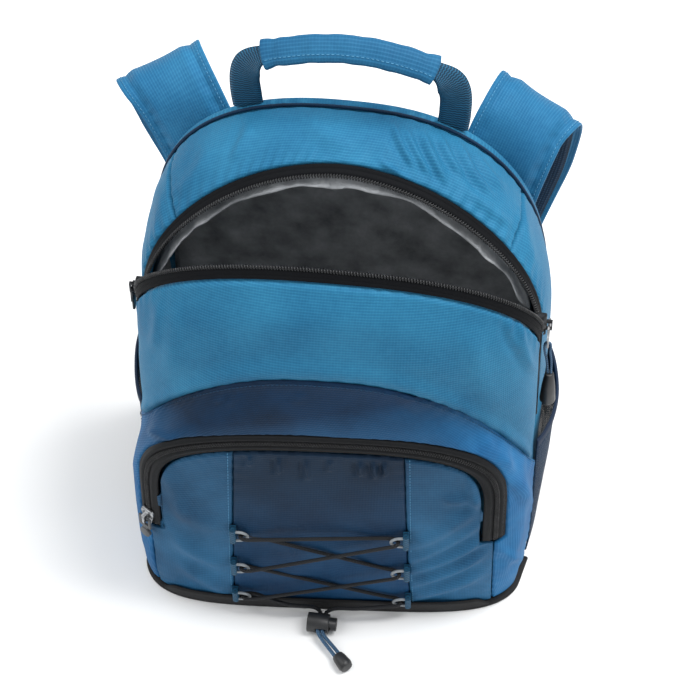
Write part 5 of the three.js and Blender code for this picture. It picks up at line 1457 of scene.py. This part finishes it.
buckle_thick = 3.6
tail_length = 62.0
anchor_x = 112.0
sheer = Finish("navy_lining", {"Specular IOR Level": 0.25})
sheer_along, sheer_across = sheer.along("cloth")
cells = sheer_along.ribs(2.2) * sheer_across.ribs(2.2)
sheer.paint(colour=sheer.mix(rgb(14, 34, 54), rgb(44, 74, 100), cells * 0.8 + sheer.spots(12) * 0.2),
            roughness=0.78 - 0.1 * cells)
sheer.relief(1 - cells, 0.35)
for side_name, hand, splay in (("left", -1, 1.0), ("right", 1, 0.6)):
    row = {key: np.array(value, float) for key, value in strap_rows.items()}
    x = hand * (row["x"][0] + (row["x"] - row["x"][0]) * splay)
    line_points = np.stack([x, strap_face_y + strap_lift + row["y"], row["z"]], -1)
    across_points = np.stack([row["sx"], -hand * row["sy"], -hand * row["sz"]], -1)
    line, side, out = band_frames(line_points, across_points, 22)
    t = np.linspace(0, 1, len(line))
    half = strap_wide / 2 * lerp(1, 0.6, ease(0.7, 1, t))[:, None]
    across = np.sin(np.linspace(-np.pi / 2, np.pi / 2, 61))[None, :]
    from_edge = half * (1 - np.abs(across))
    sewn = np.exp(-(((from_edge - 7.6) / 0.9) ** 2))
    rolled = np.sqrt(np.clip(1 - (1 - np.clip(from_edge / 1.8, 0, 1)) ** 2, 0, 1))
    along = travelled(line)[:, None]
    gathers = 0.4 * np.sin(along / 2.1 + 2 * np.sin(along / 19) * hand)
    gathers = gathers * np.exp(-(((from_edge - 9) / 3.2) ** 2))
    soft = 0.35 * np.sin(along / 9.5 + across * 3) * ease(6, 20, from_edge)
    top = rolled * 1.2 + 2.8 * ease(7.0, 15.0, from_edge) - 0.6 * sewn + gathers + soft
    under = -(rolled * 0.9 + 3.0 * ease(3.0, 12.0, from_edge))
    loop_w = np.concatenate([across, across[:, -2:0:-1]], 1) * half
    loop_h = np.concatenate([top, under[:, -2:0:-1]], 1)
    points = line[:, None] + side[:, None] * loop_w[..., None] + out[:, None] * loop_h[..., None]
    strap = closed_band(f"strap_{side_name}", points)
    place(strap, strap_cloth, "blue strap cloth", [f"shoulder_strap_{side_name}"])
    for edge_name, column_at in (("a", 9), ("b", 51)):
        seam = points[6:-10, column_at] + out[6:-10] * 0.25
        stitches(f"strap_stitches_{side_name}_{edge_name}", seam, out[6:-10], thread.material)
    lining = ribbon(f"strap_net_{side_name}", line, side, out, 0.84 * 2 * half[:, 0], lining_thick,
                    -(strap_thick / 2 + gap + lining_thick / 2), 20)
    place(lining, sheer.material, "navy mesh", [f"strap_lining_{side_name}"])

    last_side, last_out, end = side[-1], out[-1], line[-1]
    down = np.cross(last_out, last_side)
    down = down if down[2] < 0 else -down
    origin = end + down * 7
    axes = np.stack([-last_side, -down, last_out])
    dressed(f"ladder_lock_{side_name}", f"lock_{side_name}", plastic.material, "black plastic", edge=0.8)
    radius = buckle_thick / 2 + 0.6 + 2 * gap
    bow = [(-np.cos(np.pi * a), np.sin(np.pi * a)) for a in np.linspace(0.5, -0.5, 7)[1:-1]]
    round_bar = [(0, a * radius, b * radius) for a, b in bow]
    loop_line = np.array([(0, 9, 2), (0, 4, radius), *round_bar, (0, 4, -radius), (0, 9, -2)]) @ axes + origin
    loop_frames = band_frames(loop_line, np.tile(axes[0], (len(loop_line), 1)), 8)
    loop = ribbon(f"strap_loop_{side_name}", *loop_frames, web_width, 1.2)
    place(loop, webbing_navy.material, "blue strap cloth", [f"shoulder_strap_{side_name}"])
    reach = buckle_thick / 2 + 0.8 + 2 * gap
    local = [
        (-30, -reach - 0.4), (-22, -reach), (-13, -reach), (-8.6, -0.85 * reach), (-6, 0), (-8.6, 0.85 * reach),
        (-13, reach), (-22, reach), (-30, reach + 0.4), (-50, reach + 1.5), (-26 - tail_length, reach + 1),
    ]
    webbing = np.array([(0, y, z) for y, z in local]) @ axes + origin
    flat = strap_face_y + gap + 0.8
    anchor = np.array([(hand * anchor_x, flat + y, z) for y, z in ((0, 12), (0.1, 34), (2, 46))])
    rise = lerp(anchor[2], webbing[0], 0.5) + [0, 2, 0]
    webbing = np.concatenate([anchor, [rise], webbing])
    web_sides = np.array([[1.0, 0, 0]] * 3 + [list(last_side)] * (len(webbing) - 3))
    strip = ribbon(f"strap_web_{side_name}", *band_frames(webbing, web_sides, 10), web_width, 1.6)
    place(strip, webbing_navy.material, "navy webbing", [f"strap_webbing_{side_name}"])
